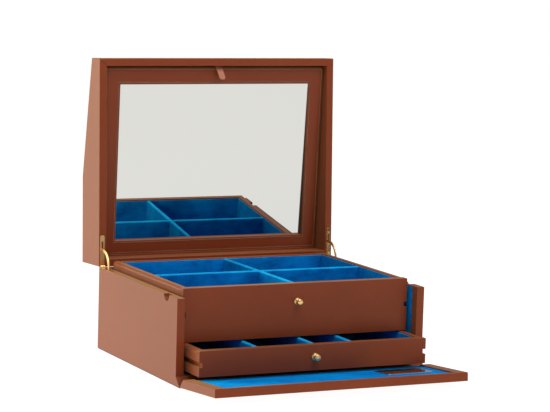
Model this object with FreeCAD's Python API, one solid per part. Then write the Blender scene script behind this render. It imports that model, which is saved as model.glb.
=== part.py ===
"""Jewellery box with a mirrored lid, a drop-down front flap and two drawers.

Millimetres. +X to the right, +Y to the back, +Z up. The origin is the bottom centre of the
closed box, on the surface that it stands on. The box is modelled open: lid up on its stays,
flap down, upper drawer home and lower drawer part way out.
"""
import FreeCAD, Part
import math
import os

# ---- driving dimensions: case ----------------------------------------------------------------
BOX_WIDTH = 300.0            # outside, left to right
BOX_DEPTH = 240.0            # outside, closed flap to back
SIDE_TOP = 95.0              # height of the side boards' top edge
BOARD = 9.0                  # leather-covered side, back and lid boards
BASE_BOARD = 10.0
BASE_FELT = 0.8
FELT_INSET = 0.4             # felt edge behind the box's outside
FELT_FRONT_INSET = 1.5
TOE = 10.0                   # how far the base runs out in front of the side boards
VELVET = 1.0                 # lining sheet
LEATHER_BAND = 10.5          # unlined front band inside each side board
EDGE_ROUND = 1.0             # leather-wrapped board edges
NOTCH_RADIUS = 7.0           # thumb notch in each side board's top edge
NOTCH_DEPTH = 5.5
NOTCH_FROM_FRONT = 30.0

# ---- driving dimensions: flap ----------------------------------------------------------------
FLAP_THICKNESS = 9.7
FLAP_LIFT_ANGLE = 4.4        # the lowered flap stops this far above level
FLAP_SEAM_RADIUS = 0.7       # leather bead that the flap turns on
FLAP_TOP_GAP = 0.1
FLAP_END_BORDER = 13.0       # leather left bare at the flap's ends
FLAP_EDGE_BORDER = 6.0       # leather left bare along the free edge
FLAP_LINING_SINK = 1.5       # lining surface below the leather border
PLATE_LENGTH = 56.0
PLATE_WIDTH = 36.0
PLATE_THICKNESS = 0.8
PLATE_CORNER = 3.0
PLATE_FROM_END = 14.0        # plate to the lining's right end

# ---- driving dimensions: drawers -------------------------------------------------------------
DRAWER_RECESS = 15.5         # drawer fronts behind the side boards' front edges
DRAWER_SIDE_GAP = 3.25       # drawer side to case lining, filled by the runners
DRAWER_FRONT = 9.0
DRAWER_SIDE = 8.0
DRAWER_BACK = 6.0
DRAWER_FLOOR = 3.0
DRAWER_FLOOR_INSET = 1.0
DRAWER_BACK_GAP = 0.7
RIM_ROUND = 3.5              # drawer sides, outer top edge
RIM_INNER_ROUND = 1.5        # drawer walls, inner top edge; the lining stops below it
TRAY_LINING = 1.2
UPPER_BOTTOM = 43.9
UPPER_TOP = 103.0
UPPER_GROOVE_Z = 73.6        # middle of the runner groove
UPPER_KNOB_Z = 83.0
LOWER_BOTTOM = 15.0
LOWER_TOP = 43.3
LOWER_GROOVE_Z = 28.3
LOWER_KNOB_Z = 30.0
LOWER_PULLED_OUT = 47.0      # how far the lower drawer stands out as modelled
GROOVE_HEIGHT = 5.5
GROOVE_DEPTH = 3.5
RUNNER_GAP = 0.3
RUNNER_FROM_FRONT = 12.0     # behind the drawer front's face
DIVIDER = 5.2
DIVIDER_DROP = 0.8           # divider tops below the rim
DIVIDER_ROUND = 2.2
UPPER_DIVIDER_X = 1.5        # middle of the upper drawer's long divider
LOWER_DIVIDERS = {"left": -64.0, "middle": 4.0, "right": 50.0}

# ---- driving dimensions: knobs ---------------------------------------------------------------
KNOB_FLANGE_RADIUS = 4.0
KNOB_FLANGE = 1.0
KNOB_NECK_RADIUS = 2.2
KNOB_HEAD_RADIUS = 3.6
KNOB_HEAD = 3.2
KNOB_LENGTH = 8.0
KNOB_DOME = 0.8
KNOB_BORE_DEPTH = 5.0
KNOB_SCREW_RADIUS = 1.4
KNOB_SCREW_GAP = 0.1
KNOB_SCREW_HEAD_RADIUS = 3.2
KNOB_SCREW_HEAD = 1.8

# ---- driving dimensions: lid -----------------------------------------------------------------
LID_GAP = 0.3                # between the closed lid's rim and the side boards
LID_OPEN_ANGLE = 92.5
LID_FRONT_HEIGHT = 26.0
LID_REAR_HEIGHT = 55.0
LID_FLAT_DEPTH = 101.0       # flat part of the top, from the back
LID_TOP_BOARD = 6.0

# ---- driving dimensions: mirror door in the lid ----------------------------------------------
DOOR_SIDE_GAP = 1.0
DOOR_FOOT = 10.5             # the door's hinge edge, from the lid's back
DOOR_FOOT_DEPTH = 25.2       # its depth below the rim
DOOR_HEAD_GAP = 1.7          # the door's free edge to the lid's front rail
DOOR_HEAD_DEPTH = 6.8
DOOR_THICKNESS = 9.0
DOOR_EDGE_ROUND = 0.8
DOOR_SEAM_RADIUS = 0.8
SOFT_GAP = 0.3
DOOR_STILE = 19.25           # leather frame round the mirror: sides,
DOOR_FOOT_RAIL = 16.5        # foot
DOOR_HEAD_RAIL = 19.8        # and head
MIRROR_SINK = 1.5            # glass below the frame's face, at the opening's head
MIRROR_TILT = 1.3            # the glass sinks towards the foot, in degrees
GLASS_THICKNESS = 2.0
GLASS_LAP = 5.0              # glass behind the frame on each side
GLASS_GAP = 0.3
LEDGE_WIDTH = 5.0
LEDGE_THICKNESS = 5.0
LEDGE_END_GAP = 12.0
LEDGE_GAP = 0.3
MAGNET_RADIUS = 4.0
MAGNET_THICKNESS = 2.0
MAGNET_FROM_SIDE = 40.0
MAGNET_FROM_HEAD = 9.0
MAGNET_BLOCK_WIDTH = 12.0
TAB_WIDTH = 7.6
TAB_THICKNESS = 1.3
TAB_LENGTH = 19.0
TAB_ANGLE = 46.0             # the tab stands this far off the frame
TAB_X = 2.0
TAB_ROOT_RISE = 0.4          # tab's root above the door's edge
TAB_ROOT_DEPTH = 0.2
TAB_NOTCH_HEIGHT = 1.5
TAB_NOTCH_DEPTH = 1.6
TAB_NOTCH_GAP = 0.4

# ---- driving dimensions: quadrant hinges -----------------------------------------------------
LEAF_WIDTH = 5.4
LEAF_LENGTH = 36.4           # from the back edge
LEAF_THICKNESS = 1.2
LEAF_FROM_SIDE = 4.0         # middle of the leaf to the box's outside
KNUCKLE_RADIUS = 2.0
KNUCKLE_ROOM = 0.3
KNUCKLE_SPLIT = 0.2          # play between neighbouring knuckles
PIN_RADIUS = 0.85
PIN_GAP = 0.05
STAY_INNER = 18.2
STAY_OUTER = 21.2
STAY_THICKNESS = 1.4
STAY_EMBED_ANGLE = 7.0       # of the stay, below each leaf's face when open
STAY_LUG = 0.8               # stop lug beyond the stay's edges
STAY_LUG_ANGLE = 2.6
STAY_ROOM = 0.3
STAY_ROOM_ANGLE = 3.0
SLOT_END = 29.5              # leaf slot's front end, from the back edge
HINGE_SCREW_SPOTS = (33.4, 9.0)
HINGE_SCREW_HEAD_RADIUS = 1.7
HINGE_SCREW_RADIUS = 0.9
HINGE_SCREW_LENGTH = 8.0

# ---- worked-out positions --------------------------------------------------------------------
HALF = BOX_WIDTH / 2
INNER = HALF - BOARD
BACK_Y = BOX_DEPTH / 2
TOE_Y = -BOX_DEPTH / 2
SIDE_FRONT_Y = TOE_Y + TOE
BACK_INNER_Y = BACK_Y - BOARD
BASE_TOP = BASE_FELT + BASE_BOARD
RIM_Z = SIDE_TOP + LID_GAP
HINGE_Z = SIDE_TOP + LID_GAP / 2
FLAP_AXIS_Z = BASE_FELT
FLAP_LENGTH = SIDE_TOP - FLAP_TOP_GAP - FLAP_AXIS_Z
DRAWER_FRONT_Y = SIDE_FRONT_Y + DRAWER_RECESS
DRAWER_HALF = INNER - VELVET - DRAWER_SIDE_GAP
DRAWER_INNER = DRAWER_HALF - DRAWER_SIDE
DRAWER_BACK_Y = BACK_INNER_Y - VELVET - DRAWER_BACK_GAP
DOOR_HEAD = BOX_DEPTH - BOARD - DOOR_HEAD_GAP
DOOR_TILT = math.degrees(math.atan2(DOOR_FOOT_DEPTH - DOOR_HEAD_DEPTH, DOOR_HEAD - DOOR_FOOT))
DOOR_LENGTH = math.hypot(DOOR_FOOT_DEPTH - DOOR_HEAD_DEPTH, DOOR_HEAD - DOOR_FOOT)
DOOR_HALF = INNER - DOOR_SIDE_GAP
MAGNET_X = DOOR_HALF - MAGNET_FROM_SIDE
LEAF_X = HALF - LEAF_FROM_SIDE
BIG = 1000.0

X_AXIS = FreeCAD.Vector(1, 0, 0)
Y_AXIS = FreeCAD.Vector(0, 1, 0)
Z_AXIS = FreeCAD.Vector(0, 0, 1)


# ---- basic shapes ----------------------------------------------------------------------------
def box(x0, x1, y0, y1, z0, z1):
    """A block between two corners."""
    return Part.makeBox(x1 - x0, y1 - y0, z1 - z0, FreeCAD.Vector(x0, y0, z0))


def prism(outline, x0, x1):
    """A (y, z) outline run along X."""
    points = [FreeCAD.Vector(x0, y, z) for y, z in outline]
    face = Part.Face(Part.makePolygon(points + points[:1]))
    return face.extrude(FreeCAD.Vector(x1 - x0, 0, 0))


def rod(radius, start, axis, length):
    """A cylinder from a point along an axis."""
    return Part.makeCylinder(radius, length, FreeCAD.Vector(*start), axis)


def turned(profile, start, axis):
    """A (radius, height) profile revolved about an axis through start."""
    points = [FreeCAD.Vector(radius, 0, height) for radius, height in profile]
    face = Part.Face(Part.makePolygon(points + points[:1]))
    solid = face.revolve(FreeCAD.Vector(0, 0, 0), Z_AXIS, 360)
    turn = FreeCAD.Rotation(Z_AXIS, axis)
    solid.Placement = FreeCAD.Placement(FreeCAD.Vector(*start), turn)
    return solid


def turn_about(shape, y, z, angle):
    """Turn a shape about an X-wise line through (y, z)."""
    moved = shape.copy()
    moved.rotate(FreeCAD.Vector(0, y, z), X_AXIS, angle)
    return moved


def shifted(shape, x=0.0, y=0.0, z=0.0):
    """A moved copy."""
    moved = shape.copy()
    moved.translate(FreeCAD.Vector(x, y, z))
    return moved


def mirrored(shape):
    """The same piece on the other side of the box."""
    return shape.mirror(FreeCAD.Vector(0, 0, 0), X_AXIS)


def rounded(shape, radius, chosen):
    """Round the edges that the test chosen(middle, direction) picks."""
    picked = []
    for edge in shape.Edges:
        if not isinstance(edge.Curve, Part.Line):
            continue
        middle = edge.CenterOfMass
        along = (edge.Vertexes[1].Point - edge.Vertexes[0].Point).normalize()
        if chosen(middle, along):
            picked.append(edge)
    return shape.makeFillet(radius, picked)


def near(value, target):
    """True where two lengths are the same place."""
    return abs(value - target) < 1e-3


def along_x(direction):
    """True for an edge that runs left to right."""
    return abs(direction.x) > 0.999


# ---- places ----------------------------------------------------------------------------------
def open_lid(shape):
    """Swing a piece of the closed lid up to its modelled place."""
    return turn_about(shape, BACK_Y, HINGE_Z, -LID_OPEN_ANGLE)


def open_flap(shape):
    """Swing a piece of the closed flap down to its modelled place."""
    return turn_about(shape, TOE_Y, FLAP_AXIS_Z, 90.0 - FLAP_LIFT_ANGLE)


def seat_door(shape):
    """Put a flat door piece (y = minus the height up the door, z = depth) in the open lid."""
    tilted = turn_about(shape, 0.0, 0.0, DOOR_TILT)
    return open_lid(shifted(tilted, y=BACK_Y - DOOR_FOOT, z=RIM_Z + DOOR_FOOT_DEPTH))


def lid_outline(points):
    """(distance from the back, depth below the rim) as (y, z) of the closed lid."""
    return [(BACK_Y - distance, RIM_Z + depth) for distance, depth in points]


# ---- quadrant hinges -------------------------------------------------------------------------
def ring_sector(inner, outer, start_angle, end_angle, x0, x1):
    """Part of a ring about the lid's hinge line; angles count up from straight forward."""
    ring = rod(outer, (x0, BACK_Y, HINGE_Z), X_AXIS, x1 - x0)
    ring = ring.cut(rod(inner, (x0, BACK_Y, HINGE_Z), X_AXIS, x1 - x0))
    middle = (start_angle + end_angle) / 2
    wedge = [(BACK_Y, HINGE_Z)]
    for angle in (start_angle, middle, end_angle):
        turn = math.radians(angle)
        reach = 4 * outer
        wedge.append((BACK_Y - reach * math.cos(turn), HINGE_Z + reach * math.sin(turn)))
    return ring.common(prism(wedge, x0, x1))


def stay_mortise(side):
    """The curved pocket that a stay swings into, below the side board's top edge."""
    half = STAY_THICKNESS / 2 + STAY_ROOM
    middle = side * LEAF_X
    inner = STAY_INNER - STAY_LUG - STAY_ROOM
    outer = STAY_OUTER + STAY_LUG + STAY_ROOM
    depth = LID_OPEN_ANGLE / 2 + STAY_EMBED_ANGLE + STAY_ROOM_ANGLE
    return ring_sector(inner, outer, -depth, STAY_ROOM_ANGLE, middle - half, middle + half)


def leaf_blank(side):
    """The flat leaf in its bed, flush with the side board's top edge."""
    middle = side * LEAF_X
    half = LEAF_WIDTH / 2
    return box(middle - half, middle + half, BACK_Y - LEAF_LENGTH, BACK_Y,
               SIDE_TOP - LEAF_THICKNESS, SIDE_TOP)


def knuckle_room(side):
    """The round rebate for the knuckles at the back edge."""
    half = LEAF_WIDTH / 2 + KNUCKLE_ROOM
    middle = side * LEAF_X
    radius = KNUCKLE_RADIUS + KNUCKLE_ROOM
    return rod(radius, (middle - half, BACK_Y, HINGE_Z), X_AXIS, 2 * half)


def hinge_screw(side, spot):
    """A countersunk screw, head flush with the leaf."""
    sink = LEAF_THICKNESS
    profile = [(0, 0), (HINGE_SCREW_HEAD_RADIUS, 0), (HINGE_SCREW_RADIUS, -sink),
               (HINGE_SCREW_RADIUS, -HINGE_SCREW_LENGTH), (0, -HINGE_SCREW_LENGTH)]
    return turned(profile, (side * LEAF_X, BACK_Y - spot, SIDE_TOP), Z_AXIS)


def hinge_screws(side):
    """Both screws of one leaf."""
    return [hinge_screw(side, spot) for spot in HINGE_SCREW_SPOTS]


def leaf(side, spans):
    """A leaf with its knuckles; spans are knuckle widths from the leaf's outer edge."""
    middle = side * LEAF_X
    start = middle - LEAF_WIDTH / 2
    clear = KNUCKLE_RADIUS + KNUCKLE_ROOM
    plate = leaf_blank(side).cut(rod(clear, (start, BACK_Y, HINGE_Z), X_AXIS, LEAF_WIDTH))
    for first, last in spans:
        knuckle = rod(KNUCKLE_RADIUS, (start + first, BACK_Y, HINGE_Z), X_AXIS, last - first)
        knuckle = knuckle.common(box(-BIG, BIG, -BIG, BIG, -BIG, BIG))
        arm = box(start + first, start + last, BACK_Y - clear - 1, BACK_Y,
                  SIDE_TOP - LEAF_THICKNESS, SIDE_TOP)
        plate = plate.fuse([knuckle, arm])
    plate = plate.cut(rod(PIN_RADIUS + PIN_GAP, (start, BACK_Y, HINGE_Z), X_AXIS, LEAF_WIDTH))
    half_slot = STAY_THICKNESS / 2 + STAY_ROOM
    slot = box(middle - half_slot, middle + half_slot, BACK_Y - SLOT_END,
               BACK_Y - STAY_INNER + STAY_ROOM, SIDE_TOP - LEAF_THICKNESS, SIDE_TOP)
    plate = plate.cut(slot)
    for screw in hinge_screws(side):
        plate = plate.cut(screw)
    return plate.removeSplitter()


def knuckle_spans():
    """Knuckle widths: the case leaf's outer two and the lid leaf's middle one."""
    third = LEAF_WIDTH / 3
    play = KNUCKLE_SPLIT / 2
    outer = [(0.0, third - play), (2 * third + play, LEAF_WIDTH)]
    inner = [(third + play, 2 * third - play)]
    return outer, inner


def to_lid(shape):
    """Mirror a case-side hinge piece up across the joint plane, for the closed lid."""
    return shape.mirror(FreeCAD.Vector(0, 0, HINGE_Z), Z_AXIS)


def stay(side):
    """The curved stay with a stop lug at each end, standing between case and open lid."""
    half = STAY_THICKNESS / 2
    middle = side * LEAF_X
    low = -STAY_EMBED_ANGLE
    high = LID_OPEN_ANGLE + STAY_EMBED_ANGLE
    arm = ring_sector(STAY_INNER, STAY_OUTER, low, high, middle - half, middle + half)
    inner = STAY_INNER - STAY_LUG
    outer = STAY_OUTER + STAY_LUG
    for start, end in ((low, low + STAY_LUG_ANGLE), (high - STAY_LUG_ANGLE, high)):
        arm = arm.fuse(ring_sector(inner, outer, start, end, middle - half, middle + half))
    return arm.removeSplitter()


def hinge_beds(side):
    """Everything that the hinge takes out of a side board."""
    cuts = [leaf_blank(side), stay_mortise(side), knuckle_room(side)]
    return cuts + hinge_screws(side)


# ---- case ------------------------------------------------------------------------------------
def case_side(side):
    """One side board with its toe, hinge bed and thumb notch."""
    outline = [(TOE_Y, BASE_FELT), (BACK_Y, BASE_FELT), (BACK_Y, SIDE_TOP),
               (SIDE_FRONT_Y, SIDE_TOP), (SIDE_FRONT_Y, BASE_FELT + TOE)]
    board = prism(outline, INNER, HALF)

    def outer_edge(middle, along):
        on_face = near(middle.x, HALF) and abs(along.x) < 0.5
        return on_face and (near(middle.z, SIDE_TOP) or near(middle.y, BACK_Y))

    board = rounded(board, EDGE_ROUND, outer_edge)
    notch = rod(NOTCH_RADIUS, (HALF - NOTCH_DEPTH, SIDE_FRONT_Y + NOTCH_FROM_FRONT, SIDE_TOP),
                X_AXIS, NOTCH_DEPTH)
    board = board.cut(notch)
    for cut in hinge_beds(1):
        board = board.cut(cut)
    board = board.cut(flap_seam())
    return board if side > 0 else mirrored(board)


def case_back():
    """The back board, between the sides."""
    board = box(-INNER, INNER, BACK_INNER_Y, BACK_Y, BASE_TOP, SIDE_TOP)
    return rounded(board, EDGE_ROUND, lambda middle, along: along_x(along)
                   and near(middle.y, BACK_Y) and near(middle.z, SIDE_TOP))


def case_base():
    """The base board, with the bevelled front that the flap folds against."""
    outline = [(TOE_Y, BASE_FELT), (BACK_Y, BASE_FELT), (BACK_Y, BASE_TOP),
               (TOE_Y + BASE_BOARD, BASE_TOP)]
    return prism(outline, -INNER, INNER).cut(flap_seam())


def flap_seam():
    """The leather bead along the base's front edge that the flap turns on."""
    return rod(FLAP_SEAM_RADIUS, (-HALF, TOE_Y, FLAP_AXIS_Z), X_AXIS, BOX_WIDTH)


def case_linings():
    """Velvet on the sides, back and base."""
    side = box(INNER - VELVET, INNER, SIDE_FRONT_Y + LEATHER_BAND, BACK_INNER_Y - VELVET,
               BASE_TOP + VELVET, SIDE_TOP - VELVET)
    back = box(-INNER, INNER, BACK_INNER_Y - VELVET, BACK_INNER_Y, BASE_TOP + VELVET,
               SIDE_TOP - VELVET)
    base = box(-INNER, INNER, SIDE_FRONT_Y + LEATHER_BAND, BACK_INNER_Y, BASE_TOP,
               BASE_TOP + VELVET)
    return Part.makeCompound([side, mirrored(side)]), back, base


def runners(groove_z):
    """A pair of runner strips, in the middle of the drawer's grooves."""
    reach = DRAWER_HALF - GROOVE_DEPTH + RUNNER_GAP
    half = GROOVE_HEIGHT / 2 - RUNNER_GAP
    strip = box(reach, INNER - VELVET, DRAWER_FRONT_Y + RUNNER_FROM_FRONT,
                BACK_INNER_Y - VELVET, groove_z - half, groove_z + half)
    return Part.makeCompound([strip, mirrored(strip)])


def build_case():
    """Every piece that stands still."""
    linings, back_lining, base_lining = case_linings()
    outer_spans, _ = knuckle_spans()
    pin = rod(PIN_RADIUS, (LEAF_X - LEAF_WIDTH / 2, BACK_Y, HINGE_Z), X_AXIS, LEAF_WIDTH)
    felt = box(-HALF + FELT_INSET, HALF - FELT_INSET, TOE_Y + FELT_FRONT_INSET,
               BACK_Y - FELT_INSET, 0.0, BASE_FELT)
    screws = hinge_screws(1) + hinge_screws(-1)
    return {
        "case_left_side": case_side(-1),
        "case_right_side": case_side(1),
        "case_back": case_back(),
        "case_base": case_base(),
        "base_felt": felt,
        "flap_seam": flap_seam(),
        "side_linings": linings,
        "back_lining": back_lining,
        "base_lining": base_lining,
        "upper_runners": runners(UPPER_GROOVE_Z),
        "lower_runners": runners(LOWER_GROOVE_Z),
        "left_case_leaf": leaf(-1, outer_spans),
        "right_case_leaf": leaf(1, outer_spans),
        "hinge_pins": Part.makeCompound([pin, mirrored(pin)]),
        "case_hinge_screws": Part.makeCompound(screws),
    }


# ---- flap ------------------------------------------------------------------------------------
def build_flap():
    """The drop-down front, drawn closed and then swung down."""
    inner_y = TOE_Y + FLAP_THICKNESS
    foot_z = FLAP_AXIS_Z + SOFT_GAP
    head_z = FLAP_AXIS_Z + FLAP_LENGTH
    outline = [(TOE_Y, foot_z), (inner_y, foot_z + FLAP_THICKNESS), (inner_y, head_z),
               (TOE_Y, head_z)]
    panel = prism(outline, -HALF, HALF)
    panel = rounded(panel, EDGE_ROUND, lambda middle, along: near(middle.z, head_z)
                    or near(abs(middle.x), HALF) and near(middle.y, TOE_Y))
    panel = panel.cut(rod(FLAP_SEAM_RADIUS + SOFT_GAP, (-HALF, TOE_Y, FLAP_AXIS_Z), X_AXIS,
                          BOX_WIDTH))
    half = HALF - FLAP_END_BORDER
    surface = inner_y - FLAP_LINING_SINK
    bed_foot = foot_z + FLAP_THICKNESS - FLAP_LINING_SINK
    bed_head = head_z - FLAP_EDGE_BORDER
    panel = panel.cut(box(-half, half, surface - VELVET, inner_y, FLAP_AXIS_Z, bed_head))
    lining = prism([(surface - VELVET, bed_foot - VELVET), (surface, bed_foot),
                    (surface, bed_head), (surface - VELVET, bed_head)], -half, half)
    plate_end = half - PLATE_FROM_END
    plate_z = (bed_foot + bed_head) / 2
    plate = box(plate_end - PLATE_LENGTH, plate_end, surface, surface + PLATE_THICKNESS,
                plate_z - PLATE_WIDTH / 2, plate_z + PLATE_WIDTH / 2)
    plate = rounded(plate, PLATE_CORNER, lambda middle, along: abs(along.y) > 0.999)
    pieces = {"flap_panel": panel, "flap_lining": lining, "flap_plate": plate}
    return {name: open_flap(shape) for name, shape in pieces.items()}


# ---- drawers ---------------------------------------------------------------------------------
def grooves(groove_z):
    """The runner grooves, right through a drawer's front, sides and back."""
    half = GROOVE_HEIGHT / 2
    groove = box(DRAWER_HALF - GROOVE_DEPTH, DRAWER_HALF, DRAWER_FRONT_Y, DRAWER_BACK_Y,
                 groove_z - half, groove_z + half)
    return [groove, mirrored(groove)]


def knob(knob_z):
    """A turned knob, its flange against the drawer front and its bore for the screw."""
    neck_end = KNOB_LENGTH - KNOB_HEAD
    profile = [(0, 0), (KNOB_FLANGE_RADIUS, 0), (KNOB_FLANGE_RADIUS, KNOB_FLANGE / 2),
               (KNOB_NECK_RADIUS, KNOB_FLANGE), (KNOB_NECK_RADIUS, neck_end - KNOB_DOME / 2),
               (KNOB_HEAD_RADIUS, neck_end + KNOB_DOME / 2),
               (KNOB_HEAD_RADIUS, KNOB_LENGTH - KNOB_DOME),
               (KNOB_HEAD_RADIUS - KNOB_DOME, KNOB_LENGTH), (0, KNOB_LENGTH)]
    forward = FreeCAD.Vector(0, -1, 0)
    body = turned(profile, (0, DRAWER_FRONT_Y, knob_z), forward)
    return body.cut(rod(KNOB_SCREW_RADIUS, (0, DRAWER_FRONT_Y, knob_z), forward, KNOB_BORE_DEPTH))


def knob_screw(knob_z):
    """The screw from inside the drawer front; its head sits in a counterbore."""
    forward = FreeCAD.Vector(0, -1, 0)
    inner_y = DRAWER_FRONT_Y + DRAWER_FRONT
    head = rod(KNOB_SCREW_HEAD_RADIUS, (0, inner_y, knob_z), forward, KNOB_SCREW_HEAD)
    shank = rod(KNOB_SCREW_RADIUS, (0, inner_y, knob_z), forward, DRAWER_FRONT + KNOB_BORE_DEPTH)
    return head.fuse(shank)


def drawer_shell(name, bottom, top, groove_z, knob_z):
    """Front, sides, back, floor, lining and knob of a drawer pushed home."""
    front_inner = DRAWER_FRONT_Y + DRAWER_FRONT
    back_inner = DRAWER_BACK_Y - DRAWER_BACK
    floor_z = bottom + DRAWER_FLOOR_INSET
    floor_top = floor_z + DRAWER_FLOOR

    def front_edge(middle, along):
        on_face = near(middle.y, DRAWER_FRONT_Y)
        return on_face and not near(middle.z, bottom)

    def top_edge(x=None, y=None):
        def chosen(middle, along):
            at_place = near(middle.y, y) if x is None else near(middle.x, x)
            return near(middle.z, top) and at_place and along_x(along) == (x is None)
        return chosen

    front = box(-DRAWER_HALF, DRAWER_HALF, DRAWER_FRONT_Y, front_inner, bottom, top)
    front = rounded(front, EDGE_ROUND, front_edge)
    front = rounded(front, RIM_INNER_ROUND, top_edge(y=front_inner))
    side = box(DRAWER_INNER, DRAWER_HALF, front_inner, DRAWER_BACK_Y, bottom, top)
    side = rounded(side, RIM_ROUND, top_edge(x=DRAWER_HALF))
    side = rounded(side, RIM_INNER_ROUND, top_edge(x=DRAWER_INNER))
    back = box(-DRAWER_INNER, DRAWER_INNER, back_inner, DRAWER_BACK_Y, bottom, top)
    back = rounded(back, RIM_INNER_ROUND, top_edge(y=back_inner))
    back = rounded(back, RIM_INNER_ROUND, top_edge(y=DRAWER_BACK_Y))
    floor = box(-DRAWER_INNER, DRAWER_INNER, front_inner, back_inner, floor_z, floor_top)
    for groove in grooves(groove_z):
        front = front.cut(groove)
        side = side.cut(groove)
    clear = KNOB_SCREW_RADIUS + KNOB_SCREW_GAP
    front = front.cut(rod(clear, (0, DRAWER_FRONT_Y, knob_z), Y_AXIS, DRAWER_FRONT))
    front = front.cut(knob_screw(knob_z))
    lining_top = top - RIM_INNER_ROUND
    outside = box(-DRAWER_INNER, DRAWER_INNER, front_inner, back_inner, floor_top, lining_top)
    inside = box(-DRAWER_INNER + TRAY_LINING, DRAWER_INNER - TRAY_LINING,
                 front_inner + TRAY_LINING, back_inner - TRAY_LINING,
                 floor_top + TRAY_LINING, lining_top)
    return {
        name + "_front": front,
        name + "_left_side": mirrored(side),
        name + "_right_side": side,
        name + "_back": back,
        name + "_floor": floor,
        name + "_lining": outside.cut(inside),
        name + "_knob": knob(knob_z),
        name + "_knob_screw": knob_screw(knob_z),
    }


def divider(x0, x1, y0, y1, bottom, top):
    """A velvet-covered divider with a rounded top."""
    board = box(x0, x1, y0, y1, bottom, top)
    runs_back = y1 - y0 > x1 - x0

    def top_edge(middle, along):
        long_way = not along_x(along) if runs_back else along_x(along)
        return near(middle.z, top) and long_way

    return rounded(board, DIVIDER_ROUND, top_edge)


def build_upper_drawer():
    """The deep drawer, with two dividers halved into each other."""
    pieces = drawer_shell("upper_drawer", UPPER_BOTTOM, UPPER_TOP, UPPER_GROOVE_Z, UPPER_KNOB_Z)
    floor_z = UPPER_BOTTOM + DRAWER_FLOOR_INSET + DRAWER_FLOOR + TRAY_LINING
    top = UPPER_TOP - DIVIDER_DROP
    front = DRAWER_FRONT_Y + DRAWER_FRONT + TRAY_LINING
    back = DRAWER_BACK_Y - DRAWER_BACK - TRAY_LINING
    inner = DRAWER_INNER - TRAY_LINING
    half = DIVIDER / 2
    left = UPPER_DIVIDER_X - half
    right = UPPER_DIVIDER_X + half
    middle_y = (front + back) / 2
    middle_z = (floor_z + top) / 2
    long_one = divider(left, right, front, back, floor_z, top)
    cross_one = divider(-inner, inner, middle_y - half, middle_y + half, floor_z, top)
    upper_lap = box(left, right, middle_y - half, middle_y + half, middle_z, top)
    lower_lap = box(left, right, middle_y - half, middle_y + half, floor_z, middle_z)
    pieces["upper_long_divider"] = long_one.cut(upper_lap)
    pieces["upper_cross_divider"] = cross_one.cut(lower_lap)
    return pieces


def build_lower_drawer():
    """The shallow drawer with three dividers, standing part way out."""
    pieces = drawer_shell("lower_drawer", LOWER_BOTTOM, LOWER_TOP, LOWER_GROOVE_Z, LOWER_KNOB_Z)
    floor_z = LOWER_BOTTOM + DRAWER_FLOOR_INSET + DRAWER_FLOOR + TRAY_LINING
    front = DRAWER_FRONT_Y + DRAWER_FRONT + TRAY_LINING
    back = DRAWER_BACK_Y - DRAWER_BACK - TRAY_LINING
    half = DIVIDER / 2
    for place, middle in LOWER_DIVIDERS.items():
        board = divider(middle - half, middle + half, front, back, floor_z,
                        LOWER_TOP - DIVIDER_DROP)
        pieces["lower_divider_" + place] = board
    return {name: shifted(shape, y=-LOWER_PULLED_OUT) for name, shape in pieces.items()}


# ---- lid -------------------------------------------------------------------------------------
def lid_side():
    """The right side board of the closed lid, flat at the back and sloping to the front."""
    outline = lid_outline([(0, 0), (BOX_DEPTH, 0), (BOX_DEPTH, LID_FRONT_HEIGHT),
                           (LID_FLAT_DEPTH, LID_REAR_HEIGHT), (0, LID_REAR_HEIGHT)])
    board = prism(outline, INNER, HALF)
    board = rounded(board, EDGE_ROUND, lambda middle, along: near(middle.x, HALF)
                    and not near(middle.z, RIM_Z) and abs(along.x) < 0.5)
    for cut in hinge_beds(1):
        board = board.cut(to_lid(cut))
    return board


def lid_slope_depth(distance, under):
    """Depth of the sloping top, or of its underside, at a distance from the back."""
    fall = (LID_REAR_HEIGHT - LID_FRONT_HEIGHT) / (BOX_DEPTH - LID_FLAT_DEPTH)
    return LID_REAR_HEIGHT - under - (distance - LID_FLAT_DEPTH) * fall


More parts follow.
